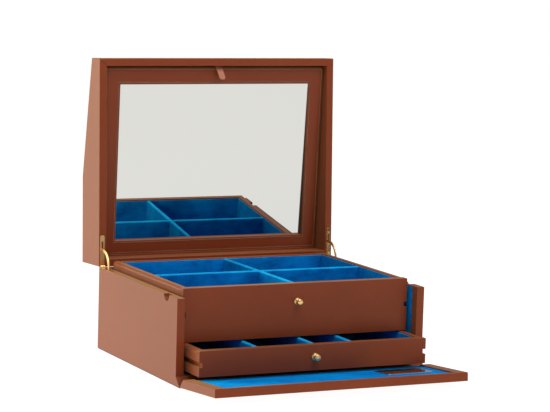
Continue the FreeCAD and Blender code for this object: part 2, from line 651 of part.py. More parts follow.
def build_lid():
    """The lid's boards, linings, door ledges and hinge leaves."""
    under = LID_TOP_BOARD
    rail_back = BOX_DEPTH - BOARD
    right = lid_side()
    slope = [(BOX_DEPTH, LID_FRONT_HEIGHT), (LID_FLAT_DEPTH, LID_REAR_HEIGHT),
             (LID_FLAT_DEPTH, lid_slope_depth(LID_FLAT_DEPTH, under)),
             (BOX_DEPTH, lid_slope_depth(BOX_DEPTH, under))]
    flat = [(LID_FLAT_DEPTH, LID_REAR_HEIGHT), (0, LID_REAR_HEIGHT),
            (0, LID_REAR_HEIGHT - under), (LID_FLAT_DEPTH, LID_REAR_HEIGHT - under)]
    front_rail = [(BOX_DEPTH, 0), (BOX_DEPTH, lid_slope_depth(BOX_DEPTH, under)),
                  (rail_back, lid_slope_depth(rail_back, under)), (rail_back, 0)]
    rear_rail = [(0, 0), (BOARD, 0), (BOARD, LID_REAR_HEIGHT - under),
                 (0, LID_REAR_HEIGHT - under)]
    lining_under = under + VELVET
    lining = [(rail_back, lid_slope_depth(rail_back, under)),
              (LID_FLAT_DEPTH, LID_REAR_HEIGHT - under), (BOARD, LID_REAR_HEIGHT - under),
              (BOARD, LID_REAR_HEIGHT - lining_under),
              (LID_FLAT_DEPTH, LID_REAR_HEIGHT - lining_under),
              (rail_back, lid_slope_depth(rail_back, lining_under))]
    boards = {
        "lid_left_side": mirrored(right),
        "lid_right_side": right,
        "lid_front_rail": prism(lid_outline(front_rail), -INNER, INNER),
        "lid_rear_rail": prism(lid_outline(rear_rail), -INNER, INNER),
        "lid_top_board": prism(lid_outline(flat), -INNER, INNER),
        "lid_slope_board": prism(lid_outline(slope), -INNER, INNER),
        "lid_lining": prism(lid_outline(lining), -INNER, INNER),
    }
    _, inner_spans = knuckle_spans()
    boards["left_lid_leaf"] = to_lid(leaf(-1, inner_spans))
    boards["right_lid_leaf"] = to_lid(leaf(1, inner_spans))
    screws = [to_lid(screw) for screw in hinge_screws(1) + hinge_screws(-1)]
    boards["lid_hinge_screws"] = Part.makeCompound(screws)
    pieces = {name: open_lid(shape) for name, shape in boards.items()}
    pieces.update(door_supports())
    return pieces


def door_supports():
    """The ledges that the door shuts on, its magnets and its leather hinge seam."""
    low = DOOR_THICKNESS + LEDGE_GAP
    ledge = box(INNER - LEDGE_WIDTH, INNER, -DOOR_LENGTH + LEDGE_END_GAP, -LEDGE_END_GAP, low,
                low + LEDGE_THICKNESS)
    magnet_y = -DOOR_LENGTH + MAGNET_FROM_HEAD
    half = MAGNET_BLOCK_WIDTH / 2
    block = box(MAGNET_X - half, MAGNET_X + half, magnet_y - half, magnet_y + half, low,
                low + LEDGE_THICKNESS)
    magnet = rod(MAGNET_RADIUS, (MAGNET_X, magnet_y, low), Z_AXIS, MAGNET_THICKNESS)
    block = block.cut(magnet)
    seam = rod(DOOR_SEAM_RADIUS, (-DOOR_HALF, 0, 0), X_AXIS, 2 * DOOR_HALF)
    web = box(-DOOR_HALF, DOOR_HALF, 0, DOOR_FOOT - BOARD + 1, -DOOR_SEAM_RADIUS,
              DOOR_SEAM_RADIUS)
    rail = box(-BIG, BIG, BACK_Y - BOARD, BACK_Y, RIM_Z, RIM_Z + LID_REAR_HEIGHT)
    seam = seat_door(seam.fuse(web)).cut(open_lid(rail))
    return {
        "door_ledges": seat_door(Part.makeCompound([ledge, mirrored(ledge)])),
        "magnet_blocks": seat_door(Part.makeCompound([block, mirrored(block)])),
        "door_magnets": seat_door(Part.makeCompound([magnet, mirrored(magnet)])),
        "door_seam": seam,
    }


# ---- mirror door -----------------------------------------------------------------------------
def tip_glass(shape, head):
    """A piece laid parallel to the frame's face, tipped with the glass about its head."""
    return turn_about(shape, head, MIRROR_SINK, MIRROR_TILT)


def build_door():
    """Leather frame, mirror glass, velvet-covered back and steel keepers."""
    frame = box(-DOOR_HALF, DOOR_HALF, -DOOR_LENGTH, 0, 0, DOOR_THICKNESS)
    frame = rounded(frame, DOOR_EDGE_ROUND, lambda middle, along: near(middle.z, 0))
    half = DOOR_HALF - DOOR_STILE
    foot = -DOOR_FOOT_RAIL
    head = DOOR_HEAD_RAIL - DOOR_LENGTH
    frame = frame.cut(box(-half, half, head, foot, 0, DOOR_THICKNESS))
    lap = half + GLASS_LAP
    rebate = box(-lap, lap, head - GLASS_LAP, foot + GLASS_LAP, MIRROR_SINK, BIG)
    frame = frame.cut(tip_glass(rebate, head))
    frame = frame.cut(rod(DOOR_SEAM_RADIUS + SOFT_GAP, (-DOOR_HALF, 0, 0), X_AXIS,
                          2 * DOOR_HALF))
    notch_half = TAB_WIDTH / 2 + TAB_NOTCH_GAP
    frame = frame.cut(box(TAB_X - notch_half, TAB_X + notch_half, -DOOR_LENGTH,
                          -DOOR_LENGTH + TAB_NOTCH_HEIGHT, 0, TAB_NOTCH_DEPTH))
    keeper = rod(MAGNET_RADIUS, (MAGNET_X, -DOOR_LENGTH + MAGNET_FROM_HEAD, DOOR_THICKNESS),
                 -Z_AXIS, MAGNET_THICKNESS)
    keepers = [keeper, mirrored(keeper)]
    for item in keepers:
        frame = frame.cut(item)
    pane = lap - GLASS_GAP
    pane_head = head - GLASS_LAP + GLASS_GAP
    pane_foot = foot + GLASS_LAP - GLASS_GAP
    glass_back = MIRROR_SINK + GLASS_THICKNESS
    glass = box(-pane, pane, pane_head, pane_foot, MIRROR_SINK, glass_back)
    backing = box(-pane, pane, pane_head, pane_foot, glass_back, BIG)
    door_slab = box(-BIG, BIG, -BIG, BIG, 0, DOOR_THICKNESS)
    pieces = {
        "mirror_frame": frame,
        "mirror_glass": tip_glass(glass, head),
        "mirror_backing": tip_glass(backing, head).common(door_slab),
        "door_keepers": Part.makeCompound(keepers),
    }
    return {name: seat_door(shape) for name, shape in pieces.items()}


def pull_tab():
    """The leather tab at the door's free edge, standing off the frame."""
    root_y = -DOOR_LENGTH - TAB_ROOT_RISE
    half = TAB_THICKNESS / 2
    width = TAB_WIDTH
    sheet = box(0, width, root_y, root_y + TAB_LENGTH, TAB_ROOT_DEPTH - half,
                TAB_ROOT_DEPTH + half)
    end = root_y + TAB_LENGTH
    sheet = rounded(sheet, width / 3, lambda middle, along: near(middle.y, end)
                    and abs(along.z) > 0.999)
    bead = rod(half, (0, root_y, TAB_ROOT_DEPTH), X_AXIS, width)
    tab = sheet.fuse(bead).removeSplitter()
    tab = turn_about(tab, root_y, TAB_ROOT_DEPTH, -TAB_ANGLE)
    return seat_door(shifted(tab, x=TAB_X - width / 2))


# ---- whole box -------------------------------------------------------------------------------
def build_box():
    """All pieces by node name."""
    pieces = {}
    for group in (build_case(), build_flap(), build_upper_drawer(), build_lower_drawer(),
                  build_lid(), build_door()):
        pieces.update(group)
    pieces["left_stay"] = stay(-1)
    pieces["right_stay"] = stay(1)
    pieces["pull_tab"] = pull_tab()
    return pieces


os.makedirs("parts", exist_ok=True)
for node, shape in build_box().items():
    shape.exportStep("parts/" + node + ".step")
    print(node, len(shape.Solids), round(shape.Volume, 1), shape.isValid())
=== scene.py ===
"""Jewellery box with a mirrored lid, a drop-down flap and two drawers: its finishes and meshes.

Pieces are in metres, +X to the right, +Y to the back and +Z up, in the frame of the solids. The
forms that they are made from are in millimetres, and are carried to metres last.
"""
import logging
import math
from dataclasses import dataclass
from enum import Enum
from typing import Callable, Sequence

import bmesh
import bpy
from mathutils import Matrix, Vector


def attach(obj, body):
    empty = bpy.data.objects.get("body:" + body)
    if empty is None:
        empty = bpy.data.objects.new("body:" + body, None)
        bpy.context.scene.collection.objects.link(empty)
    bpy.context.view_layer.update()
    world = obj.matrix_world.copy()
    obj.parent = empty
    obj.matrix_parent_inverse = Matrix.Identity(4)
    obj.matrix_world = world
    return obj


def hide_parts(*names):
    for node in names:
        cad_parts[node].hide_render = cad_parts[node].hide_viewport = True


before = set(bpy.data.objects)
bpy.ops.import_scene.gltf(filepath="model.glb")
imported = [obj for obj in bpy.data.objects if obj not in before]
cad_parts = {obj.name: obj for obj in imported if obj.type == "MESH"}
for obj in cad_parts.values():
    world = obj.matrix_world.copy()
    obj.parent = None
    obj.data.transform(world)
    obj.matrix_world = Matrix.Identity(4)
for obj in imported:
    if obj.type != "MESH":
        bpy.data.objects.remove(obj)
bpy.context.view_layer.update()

LOG = logging.getLogger("jewellery_box")

MM = 0.001
Point2 = tuple[float, float]
Point3 = tuple[float, float, float]
Colour = tuple[float, float, float]
WHITE: Colour = (1.0, 1.0, 1.0)


# ---- node trees ------------------------------------------------------------------------------
class Value:
    """A number socket of a shader tree, for use in ordinary expressions."""

    def __init__(self, shader: "Shader", socket: bpy.types.NodeSocket) -> None:
        """Wrap a socket of a shader's tree."""
        self.shader = shader
        self.socket = socket

    def _maths(self, operation: str, *operands: "Value | float", clamp: bool = False) -> "Value":
        """One Math node.

        Args:
            operation: the node's operation.
            operands: its inputs, in order.
            clamp: whether the result is held between 0 and 1.

        Returns:
            The node's result.
        """
        settings = {"operation": operation, "use_clamp": clamp}
        node = self.shader.node("ShaderNodeMath", settings, dict(enumerate(operands)))
        return Value(self.shader, node.outputs[0])

    def __add__(self, other: "Value | float") -> "Value":
        """Sum."""
        return self._maths("ADD", self, other)

    def __radd__(self, other: float) -> "Value":
        """Sum, from the right."""
        return self._maths("ADD", other, self)

    def __sub__(self, other: "Value | float") -> "Value":
        """Difference."""
        return self._maths("SUBTRACT", self, other)

    def __rsub__(self, other: float) -> "Value":
        """Difference, from the right."""
        return self._maths("SUBTRACT", other, self)

    def __mul__(self, other: "Value | float") -> "Value":
        """Product."""
        return self._maths("MULTIPLY", self, other)

    def __rmul__(self, other: float) -> "Value":
        """Product, from the right."""
        return self._maths("MULTIPLY", other, self)

    def clamped(self) -> "Value":
        """The value held between 0 and 1."""
        return self._maths("ADD", self, 0.0, clamp=True)


class Tree:
    """A node tree that is filled node by node."""

    def __init__(self, tree: bpy.types.NodeTree) -> None:
        """Take the tree to fill."""
        self.tree = tree

    def node(self, kind: str, settings: dict | None = None,
             inputs: dict | None = None) -> bpy.types.Node:
        """Add one node.

        Args:
            kind: the node's type.
            settings: its attributes, such as a Math node's operation, set first.
            inputs: values, sockets or Values by socket name or number.

        Returns:
            The node.
        """
        node = self.tree.nodes.new(kind)
        for name, value in (settings or {}).items():
            setattr(node, name, value)
        for key, value in (inputs or {}).items():
            if isinstance(value, Value):
                value = value.socket
            if isinstance(value, bpy.types.NodeSocket):
                self.tree.links.new(value, node.inputs[key])
            else:
                node.inputs[key].default_value = value
        return node


class Shader(Tree):
    """One material's node tree, with a principled surface."""

    # a colour Mix node's sockets
    FACTOR, FIRST, SECOND, RESULT = 0, 6, 7, 2

    def __init__(self, name: str) -> None:
        """Start a material.

        Args:
            name: the material's name.
        """
        self.material = bpy.data.materials.new(name)
        self.material.use_nodes = True
        super().__init__(self.material.node_tree)
        self.tree.nodes.clear()
        self.surface = self.node("ShaderNodeBsdfPrincipled")
        output = self.node("ShaderNodeOutputMaterial")
        self.tree.links.new(self.surface.outputs[0], output.inputs["Surface"])
        self.place = self.node("ShaderNodeTexCoord").outputs["Object"]

    def noise(self, scale: float, detail: float, roughness: float,
              stretch: Point3 = (1.0, 1.0, 1.0)) -> Value:
        """Noise on object coordinates.

        Args:
            scale: cells per metre.
            detail: octaves.
            roughness: strength of the finer octaves.
            stretch: scale along each axis.

        Returns:
            The noise, from 0 to 1.
        """
        place = self.node("ShaderNodeMapping", {}, {"Vector": self.place, "Scale": stretch})
        inputs = {"Vector": place.outputs[0], "Scale": scale, "Detail": detail,
                  "Roughness": roughness}
        return Value(self, self.node("ShaderNodeTexNoise", {}, inputs).outputs[0])

    def cells(self, scale: float) -> Value:
        """Distance to the nearest of scattered points, so many to the metre."""
        node = self.node("ShaderNodeTexVoronoi", {}, {"Vector": self.place, "Scale": scale})
        return Value(self, node.outputs["Distance"])

    def blend(self, amount: Value, low: Colour, high: Colour) -> bpy.types.NodeSocket:
        """Mix two colours.

        Args:
            amount: how much of the second, from 0 to 1.
            low: the first colour.
            high: the second colour.

        Returns:
            The mixed colour.
        """
        settings = {"data_type": "RGBA", "clamp_factor": True}
        inputs = {self.FACTOR: amount, self.FIRST: (*low, 1.0), self.SECOND: (*high, 1.0)}
        return self.node("ShaderNodeMix", settings, inputs).outputs[self.RESULT]

    def darken(self, colour: bpy.types.NodeSocket, amount: Value,
               towards: Colour) -> bpy.types.NodeSocket:
        """Multiply a colour towards another.

        Args:
            colour: the colour to start from.
            amount: how far it goes, from 0 to 1.
            towards: what it is multiplied by in the end.

        Returns:
            The darkened colour.
        """
        settings = {"data_type": "RGBA", "blend_type": "MULTIPLY", "clamp_factor": True}
        inputs = {self.FACTOR: amount, self.FIRST: colour, self.SECOND: (*towards, 1.0)}
        return self.node("ShaderNodeMix", settings, inputs).outputs[self.RESULT]

    def link(self, name: str, value: Value | bpy.types.NodeSocket) -> None:
        """Feed one of the surface's inputs."""
        socket = value.socket if isinstance(value, Value) else value
        self.tree.links.new(socket, self.surface.inputs[name])

    def constants(self, **values: float | Sequence[float]) -> None:
        """Set the surface's own sockets; underscores stand for spaces."""
        for name, value in values.items():
            self.surface.inputs[name.replace("_", " ")].default_value = value

    def bump(self, *layers: tuple[Value, float]) -> None:
        """Stack bump layers under the surface's normal.

        Args:
            layers: a height and its depth in metres, for each layer.
        """
        normal = None
        for height, depth in layers:
            inputs = {"Height": height, "Distance": depth, "Strength": 1.0}
            if normal is not None:
                inputs["Normal"] = normal
            normal = self.node("ShaderNodeBump", {}, inputs).outputs[0]
        self.link("Normal", normal)


# ---- finishes --------------------------------------------------------------------------------
# Cells are counted to the metre, and depths are in metres.
@dataclass(frozen=True)
class Leather:
    """Smooth dyed leather, a little glossy, with fine pores and soft changes of tone."""

    name: str
    deep: Colour
    fair: Colour
    roughness: float = 0.34
    gloss: float = 0.2
    sheen: float = 0.38
    sheen_roughness: float = 0.4
    sheen_tint: Colour = (1.0, 0.74, 0.36)
    tone_cells: float = 9.0
    mottle_cells: float = 70.0
    crease_cells: float = 420.0
    pore_cells: float = 1500.0
    pore_width: float = 2.4
    pore_shade: float = 0.22
    pore_dark: float = 0.55
    pore_depth: float = 0.00003
    crease_depth: float = 0.00007
    slot: str = "brown_leather"

    def material(self) -> bpy.types.Material:
        """Build the material.

        Returns:
            The material.
        """
        shader = Shader(self.name)
        tone = shader.noise(self.tone_cells, detail=4.0, roughness=0.55)
        mottle = shader.noise(self.mottle_cells, detail=3.0, roughness=0.6)
        pores = shader.cells(self.pore_cells)
        creases = shader.noise(self.crease_cells, detail=4.0, roughness=0.6)
        mix = (tone * 0.9 + mottle * 0.35 - 0.12).clamped()
        colour = shader.blend(mix, self.deep, self.fair)
        pits = (1.0 - pores * self.pore_width).clamped() * self.pore_shade
        dark = tuple(self.pore_dark * part for part in self.deep)
        shader.link("Base Color", shader.darken(colour, pits, dark))
        shader.link("Roughness", mottle * 0.16 + tone * 0.08 + (self.roughness - 0.12))
        shader.bump((creases, self.crease_depth), (pores, self.pore_depth))
        shader.constants(Specular_IOR_Level=self.gloss, Sheen_Weight=self.sheen,
                         Sheen_Roughness=self.sheen_roughness,
                         Sheen_Tint=(*self.sheen_tint, 1.0))
        return shader.material


@dataclass(frozen=True)
class Velvet:
    """Short-pile velvet that lightens where it is seen at a slant."""

    name: str
    deep: Colour
    fair: Colour
    sheen_tint: Colour
    sheen: float = 0.95
    sheen_roughness: float = 0.35
    gloss: float = 0.05
    roughness: float = 0.85
    brushed_cells: float = 22.0
    streak_cells: float = 60.0
    streak_stretch: Point3 = (1.0, 2.6, 2.6)
    fibre_cells: float = 2600.0
    streak_depth: float = 0.00045
    fibre_depth: float = 0.00015
    slot: str = "blue_velvet"

    def material(self) -> bpy.types.Material:
        """Build the material.

        Returns:
            The material.
        """
        shader = Shader(self.name)
        brushed = shader.noise(self.brushed_cells, detail=5.0, roughness=0.62)
        streaks = shader.noise(self.streak_cells, detail=4.0, roughness=0.6,
                               stretch=self.streak_stretch)
        fibres = shader.noise(self.fibre_cells, detail=2.0, roughness=0.6)
        mix = (brushed * 2.0 + streaks + fibres * 0.5 - 1.25).clamped()
        shader.link("Base Color", shader.blend(mix, self.deep, self.fair))
        shader.link("Roughness", self.roughness + fibres * 0.12)
        shader.bump((streaks, self.streak_depth), (fibres, self.fibre_depth))
        shader.constants(Specular_IOR_Level=self.gloss, Sheen_Weight=self.sheen,
                         Sheen_Roughness=self.sheen_roughness,
                         Sheen_Tint=(*self.sheen_tint, 1.0))
        return shader.material


@dataclass(frozen=True)
class Metal:
    """Polished or plated metal with faint rubbing marks."""

    name: str
    colour: Colour
    dull: Colour
    roughness: float
    slot: str
    rub_depth: float = 0.00001
    tarnish_cells: float = 240.0
    rub_cells: float = 900.0
    rub_stretch: Point3 = (1.0, 6.0, 1.0)

    def material(self) -> bpy.types.Material:
        """Build the material.

        Returns:
            The material.
        """
        shader = Shader(self.name)
        tarnish = shader.noise(self.tarnish_cells, detail=4.0, roughness=0.6)
        rubbed = shader.noise(self.rub_cells, detail=3.0, roughness=0.6,
                              stretch=self.rub_stretch)
        mix = (tarnish * 1.6 - 0.3).clamped()
        shader.link("Base Color", shader.blend(mix, self.dull, self.colour))
        shader.link("Roughness", self.roughness + rubbed * 0.12 - 0.04)
        shader.bump((rubbed, self.rub_depth))
        shader.constants(Metallic=1.0)
        return shader.material


@dataclass(frozen=True)
class Silvering:
    """Mirror glass, with the faintest unevenness of silvered sheet.

    Its shading normal leans by a slope along X and along Z, as if the silvering lay a little
    askew in its bed; the glass's form is not turned.
    """

    name: str
    colour: Colour
    askew: float = 0.035
    nod: float = 0.010
    film_cells: float = 14.0
    film_gain: float = 1.02
    roughness: float = 0.004
    film_roughness: float = 0.012
    slot: str = "mirror_glass"

    def material(self) -> bpy.types.Material:
        """Build the material.

        Returns:
            The material.
        """
        shader = Shader(self.name)
        film = shader.noise(self.film_cells, detail=2.0, roughness=0.5)
        brighter = tuple(min(1.0, self.film_gain * part) for part in self.colour)
        shader.link("Base Color", shader.blend(film, self.colour, brighter))
        shader.link("Roughness", film * self.film_roughness + self.roughness)
        axes = shader.node("ShaderNodeSeparateXYZ", {}, {"Vector": shader.place}).outputs
        lean = Value(shader, axes["X"]) * self.askew + Value(shader, axes["Z"]) * self.nod
        shader.bump((lean, 1.0))
        shader.constants(Metallic=1.0)
        return shader.material


@dataclass(frozen=True)
class Felt:
    """Dense pressed felt."""

    name: str
    deep: Colour
    fair: Colour
    gloss: float = 0.1
    sheen: float = 0.1
    roughness: float = 0.88
    clump_cells: float = 160.0
    fibre_cells: float = 1900.0
    fibre_depth: float = 0.0002
    slot: str = "base_felt"

    def material(self) -> bpy.types.Material:
        """Build the material.

        Returns:
            The material.
        """
        shader = Shader(self.name)
        clumps = shader.noise(self.clump_cells, detail=5.0, roughness=0.7)
        fibres = shader.noise(self.fibre_cells, detail=3.0, roughness=0.7)
        shader.link("Base Color", shader.blend(clumps * 0.7 + fibres * 0.3, self.deep, self.fair))
        shader.link("Roughness", self.roughness + fibres * 0.1)
        shader.bump((fibres, self.fibre_depth))
        shader.constants(Specular_IOR_Level=self.gloss, Sheen_Weight=self.sheen)
        return shader.material


class Finish(Enum):
    """The finishes of the box, by what they are on."""

    LEATHER = Leather("brown_leather", (0.177, 0.030, 0.0062), (0.258, 0.047, 0.011))
    RUNNER = Leather("runner_leather", (0.10, 0.027, 0.012), (0.16, 0.045, 0.021),
                     roughness=0.55, slot="runner_leather")
    TAB = Leather("tab_leather", (0.32, 0.120, 0.070), (0.48, 0.190, 0.110), roughness=0.6)
    THREAD = Leather("thread", (0.50, 0.26, 0.15), (0.66, 0.37, 0.23), roughness=0.55)
    # near-black leather, painted shade: on the side reveals of the mirror's opening and on dots
    # where the frame's thread passes through the leather
    SHADE_PAINT = Leather("painted_shade", (0.010, 0.003, 0.0015), (0.016, 0.005, 0.0025),
                       roughness=0.6)
    VELVET = Velvet("blue_velvet", (0.0002, 0.078, 0.290), (0.0004, 0.265, 0.730),
                    (0.01, 0.66, 1.0))
    # lighter velvet on upward faces along the top of trays and dividers: painted highlight where
    # light falls on the tops
    PAINTED_HIGHLIGHT_PILE = Velvet("velvet_painted_highlight", (0.003, 0.230, 0.600), (0.010, 0.480, 0.980),
                       (0.02, 0.68, 1.0))
    # the flap's velvet, a brighter copy of the velvet: painted light on the lowered flap
    FLAP_PAINTED_LIGHT = Velvet("velvet_flap_painted_light", (0.0004, 0.140, 0.600), (0.0008, 0.360, 0.990),
                       (0.005, 0.46, 1.0))
    FELT = Felt("base_felt", (0.0005, 0.026, 0.100), (0.0015, 0.055, 0.190))
    BRASS = Metal("brass", (0.92, 0.62, 0.27), (0.80, 0.50, 0.19), roughness=0.30, slot="brass")
    PLATE = Metal("polished_plate", (0.86, 0.84, 0.80), (0.80, 0.78, 0.74), roughness=0.07,
                  slot="polished_plate", rub_depth=0.000002)
    STEEL = Metal("steel", (0.62, 0.62, 0.63), (0.50, 0.50, 0.51), roughness=0.30, slot="steel")
    MIRROR = Silvering("mirror_glass", (0.615, 0.612, 0.585))


class Paints:
    """Makes each finish's material once."""

    def __init__(self) -> None:
        """Start with none made."""
        self.made: dict[Finish, bpy.types.Material] = {}

    def get(self, finish: Finish) -> bpy.types.Material:
        """Look a material up, and make it the first time.

        Args:
            finish: the finish that it gives.

        Returns:
            The material.
        """
        if finish not in self.made:
            self.made[finish] = finish.value.material()
        return self.made[finish]


PAINTS = Paints()


# ---- mesh forms ------------------------------------------------------------------------------
# picks an edge by its middle and direction, or a face by its middle and normal
Picker = Callable[[Vector, Vector], bool]
AXES = {"X": (0, 1, 2), "Y": (1, 0, 2), "Z": (2, 0, 1)}
FOLD_ANGLE = math.radians(25.0)
FLAT_ANGLE = math.radians(0.5)
MERGED = 0.0005  # mm between points that are one point
ON_CUT = 0.0001  # mm between a dicing cut and a point that is on it
TOUCHING = 0.01  # mm between an edge and the plane that it is in
ALONG = 0.9  # least cosine between an edge and the axis that it runs along
PAST = 1.0  # mm that a cutter stands past what it cuts


def turn_about(y: float, z: float, degrees: float) -> Matrix:
    """A turn about the left-to-right line through (y, z), in millimetres."""
    there = Matrix.Translation((0.0, y, z))
    return there @ Matrix.Rotation(math.radians(degrees), 4, "X") @ there.inverted()


def at_y(place: float) -> Picker:
    """A test that picks the edges in a plane across Y."""
    return lambda middle, _: abs(middle.y - place) < TOUCHING


def rounded_outline(corners: Sequence[Point3], steps: int) -> list[Point2]:
    """Round the corners of a flat outline.

    Args:
        corners: (a, b, radius) of each corner in order.
        steps: straight steps of each rounding.

    Returns:
        The outline's points.
    """
    points: list[Point2] = []
    count = len(corners)
    for index, (a, b, radius) in enumerate(corners):
        here = Vector((a, b))
        if radius <= 0:
            points.append((a, b))
            continue
        before = Vector(corners[index - 1][:2]) - here
        after = Vector(corners[(index + 1) % count][:2]) - here
        before.normalize()
        after.normalize()
        half = before.angle(after) / 2
        reach = radius / math.tan(half)
        centre = here + (before + after).normalized() * (radius / math.sin(half))
        first = here + before * reach - centre
        last = here + after * reach - centre
        turn = first.angle_signed(last)
        for step in range(steps + 1):
            arm = first.copy()
            arm.rotate(Matrix.Rotation(-turn * step / steps, 2))
            points.append(tuple(centre + arm))
    return points


class Form:
    """A closed mesh in millimetres, shaped step by step."""

    def __init__(self, mesh: bmesh.types.BMesh | None = None) -> None:
        """Start from a mesh, or from nothing."""
        self.mesh = mesh or bmesh.new()

    @classmethod
    def rings(cls, rings: Sequence[Sequence[Point3]], around: bool = False) -> "Form":
        """Skin a run of rings that have the same number of points.

        Args:
            rings: the rings, in order.
            around: join the last ring to the first instead of capping both.

        Returns:
            The skinned form.
        """
        form = cls()
        rows = [[form.mesh.verts.new(point) for point in ring] for ring in rings]
        count = len(rows[0])
        pairs = list(zip(rows, rows[1:]))
        if around:
            pairs.append((rows[-1], rows[0]))
        else:
            form.mesh.faces.new(rows[0][::-1])
            form.mesh.faces.new(rows[-1])
        for low, high in pairs:
            for index in range(count):
                after = (index + 1) % count
                form.mesh.faces.new((low[index], low[after], high[after], high[index]))
        return form.faced()

    @classmethod
    def prism(cls, outline: Sequence[Point2], start: float, end: float,
              axis: str = "X") -> "Form":
        """Run a flat outline along an axis.

        Args:
            outline: points in the other two axes, in order.
            start: where it begins.
            end: where it ends.
            axis: the axis that it runs along.

        Returns:
            The prism.
        """
        along, first, second = AXES[axis]
        rings = []
        for place in (start, end):
            ring = []
            for a, b in outline:
                point = [0.0, 0.0, 0.0]
                point[along], point[first], point[second] = place, a, b
                ring.append(tuple(point))
            rings.append(ring)
        return cls.rings(rings)

    @classmethod
    def block(cls, x: Point2, y: Point2, z: Point2) -> "Form":
        """A block between two places on each axis, to be shaped further."""
        outline = [(y[0], z[0]), (y[1], z[0]), (y[1], z[1]), (y[0], z[1])]
        return cls.prism(outline, x[0], x[1])

    @classmethod
    def lathe(cls, profile: Sequence[Point2], centre: Point3, axis: str,
              segments: int) -> "Form":
        """Turn a (radius, height) profile, closed at both poles.

        Args:
            profile: radii and heights, from one end to the other, without the poles.
            centre: where height 0 is.
            axis: the axis it stands along.
            segments: steps round.

        Returns:
            The turned form.
        """
        along, first, second = AXES[axis]
        rings = []
        for radius, height in profile:
            ring = []
            for step in range(segments):
                turn = math.tau * step / segments
                point = list(centre)
                point[along] += height
                point[first] += radius * math.cos(turn)
                point[second] += radius * math.sin(turn)
                ring.append(tuple(point))
            rings.append(ring)
        return cls.rings(rings)

    @classmethod
    def rod(cls, radius: float, start: Point3, length: float, axis: str = "X",
            segments: int = 32) -> "Form":
        """A round bar from a point along an axis."""
        return cls.lathe([(radius, 0.0), (radius, length)], start, axis, segments)

    def faced(self) -> "Form":
        """The form with its faces turned outwards."""
        bmesh.ops.recalc_face_normals(self.mesh, faces=self.mesh.faces[:])
        return self

    def copied(self) -> "Form":
        """A copy."""
        return Form(self.mesh.copy())

    def moved(self, matrix: Matrix) -> "Form":
        """The form carried to another place."""
        self.mesh.transform(matrix)
        return self.faced()

    def mirrored(self) -> "Form":
        """A copy on the other side of the box."""
        return self.copied().moved(Matrix.Scale(-1.0, 4, (1.0, 0.0, 0.0)))

    def joined(self, *others: "Form") -> "Form":
        """Put others beside the form in the same mesh.

        Args:
            others: the forms to add.

        Returns:
            The form.
        """
        for other in others:
            spare = bpy.data.meshes.new("spare")
            other.mesh.to_mesh(spare)
            self.mesh.from_mesh(spare)
            bpy.data.meshes.remove(spare)
        return self

    def _boolean(self, other: "Form", operation: str) -> "Form":
        """Combine with another closed form by an exact Boolean.

        Args:
            other: the other form.
            operation: the Boolean's kind.

        Returns:
            The form.
        """
        objects = []
        for form in (self, other):
            mesh = bpy.data.meshes.new("spare")
            form.mesh.to_mesh(mesh)
            item = bpy.data.objects.new("spare", mesh)
            bpy.context.scene.collection.objects.link(item)
            objects.append(item)
        modifier = objects[0].modifiers.new("cut", "BOOLEAN")
        modifier.operation = operation
        modifier.solver = "EXACT"
        modifier.object = objects[1]
        graph = bpy.context.evaluated_depsgraph_get()
        result = bpy.data.meshes.new_from_object(objects[0].evaluated_get(graph))
        self.mesh.clear()
        self.mesh.from_mesh(result)
        bpy.data.meshes.remove(result)
        for item in objects:
            mesh = item.data
            bpy.data.objects.remove(item)
            bpy.data.meshes.remove(mesh)
        bmesh.ops.remove_doubles(self.mesh, verts=self.mesh.verts[:], dist=MERGED)
        bmesh.ops.dissolve_degenerate(self.mesh, edges=self.mesh.edges[:], dist=MERGED)
        return self

    def cut(self, *others: "Form") -> "Form":
        """Take other forms away.

        Args:
            others: the cutters.

        Returns:
            The form.
        """
        for other in others:
            self._boolean(other, "DIFFERENCE")
        return self

    def fused(self, *others: "Form") -> "Form":
        """Add other forms and drop what is inside.

        Args:
            others: the forms to add.

        Returns:
            The form.
        """
        for other in others:
            self._boolean(other, "UNION")
        bmesh.ops.dissolve_limit(self.mesh, angle_limit=FLAT_ANGLE, verts=self.mesh.verts[:],
                                 edges=self.mesh.edges[:])
        return self

    def softened(self, width: float, segments: int, chosen: Picker | None = None) -> "Form":
        """Round the form's outward folds.

        Args:
            width: how far the rounding reaches.
            segments: steps of the rounding.
            chosen: picks the edges, or all of them without it.

        Returns:
            The form.
        """
        edges = []
        for edge in self.mesh.edges:
            if len(edge.link_faces) != 2 or edge.calc_face_angle(0.0) < FOLD_ANGLE:
                continue
            if not edge.is_convex:
                continue
            start, end = (vertex.co for vertex in edge.verts)
            if chosen is None or chosen((start + end) / 2, (end - start).normalized()):
                edges.append(edge)
        bmesh.ops.bevel(self.mesh, geom=edges, offset=width, offset_type="OFFSET",
                        segments=segments, profile=0.5, affect="EDGES", clamp_overlap=True)
        return self

    def diced(self, step: float) -> "Form":
        """Cut the faces into cells, for a surface that undulates.

        Args:
            step: the least width of a cell.

        Returns:
            The form.
        """
        corners = [vertex.co.copy() for vertex in self.mesh.verts]
        for axis in range(3):
            low = min(corner[axis] for corner in corners)
            high = max(corner[axis] for corner in corners)
            count = int((high - low) / step)
            normal = Vector((0.0, 0.0, 0.0))
            normal[axis] = 1.0
            for index in range(1, count):
                place = Vector((0.0, 0.0, 0.0))
                place[axis] = low + (high - low) * index / count
                geometry = self.mesh.verts[:] + self.mesh.edges[:] + self.mesh.faces[:]
                bmesh.ops.bisect_plane(self.mesh, geom=geometry, dist=ON_CUT,
                                       plane_co=place, plane_no=normal)
        return self


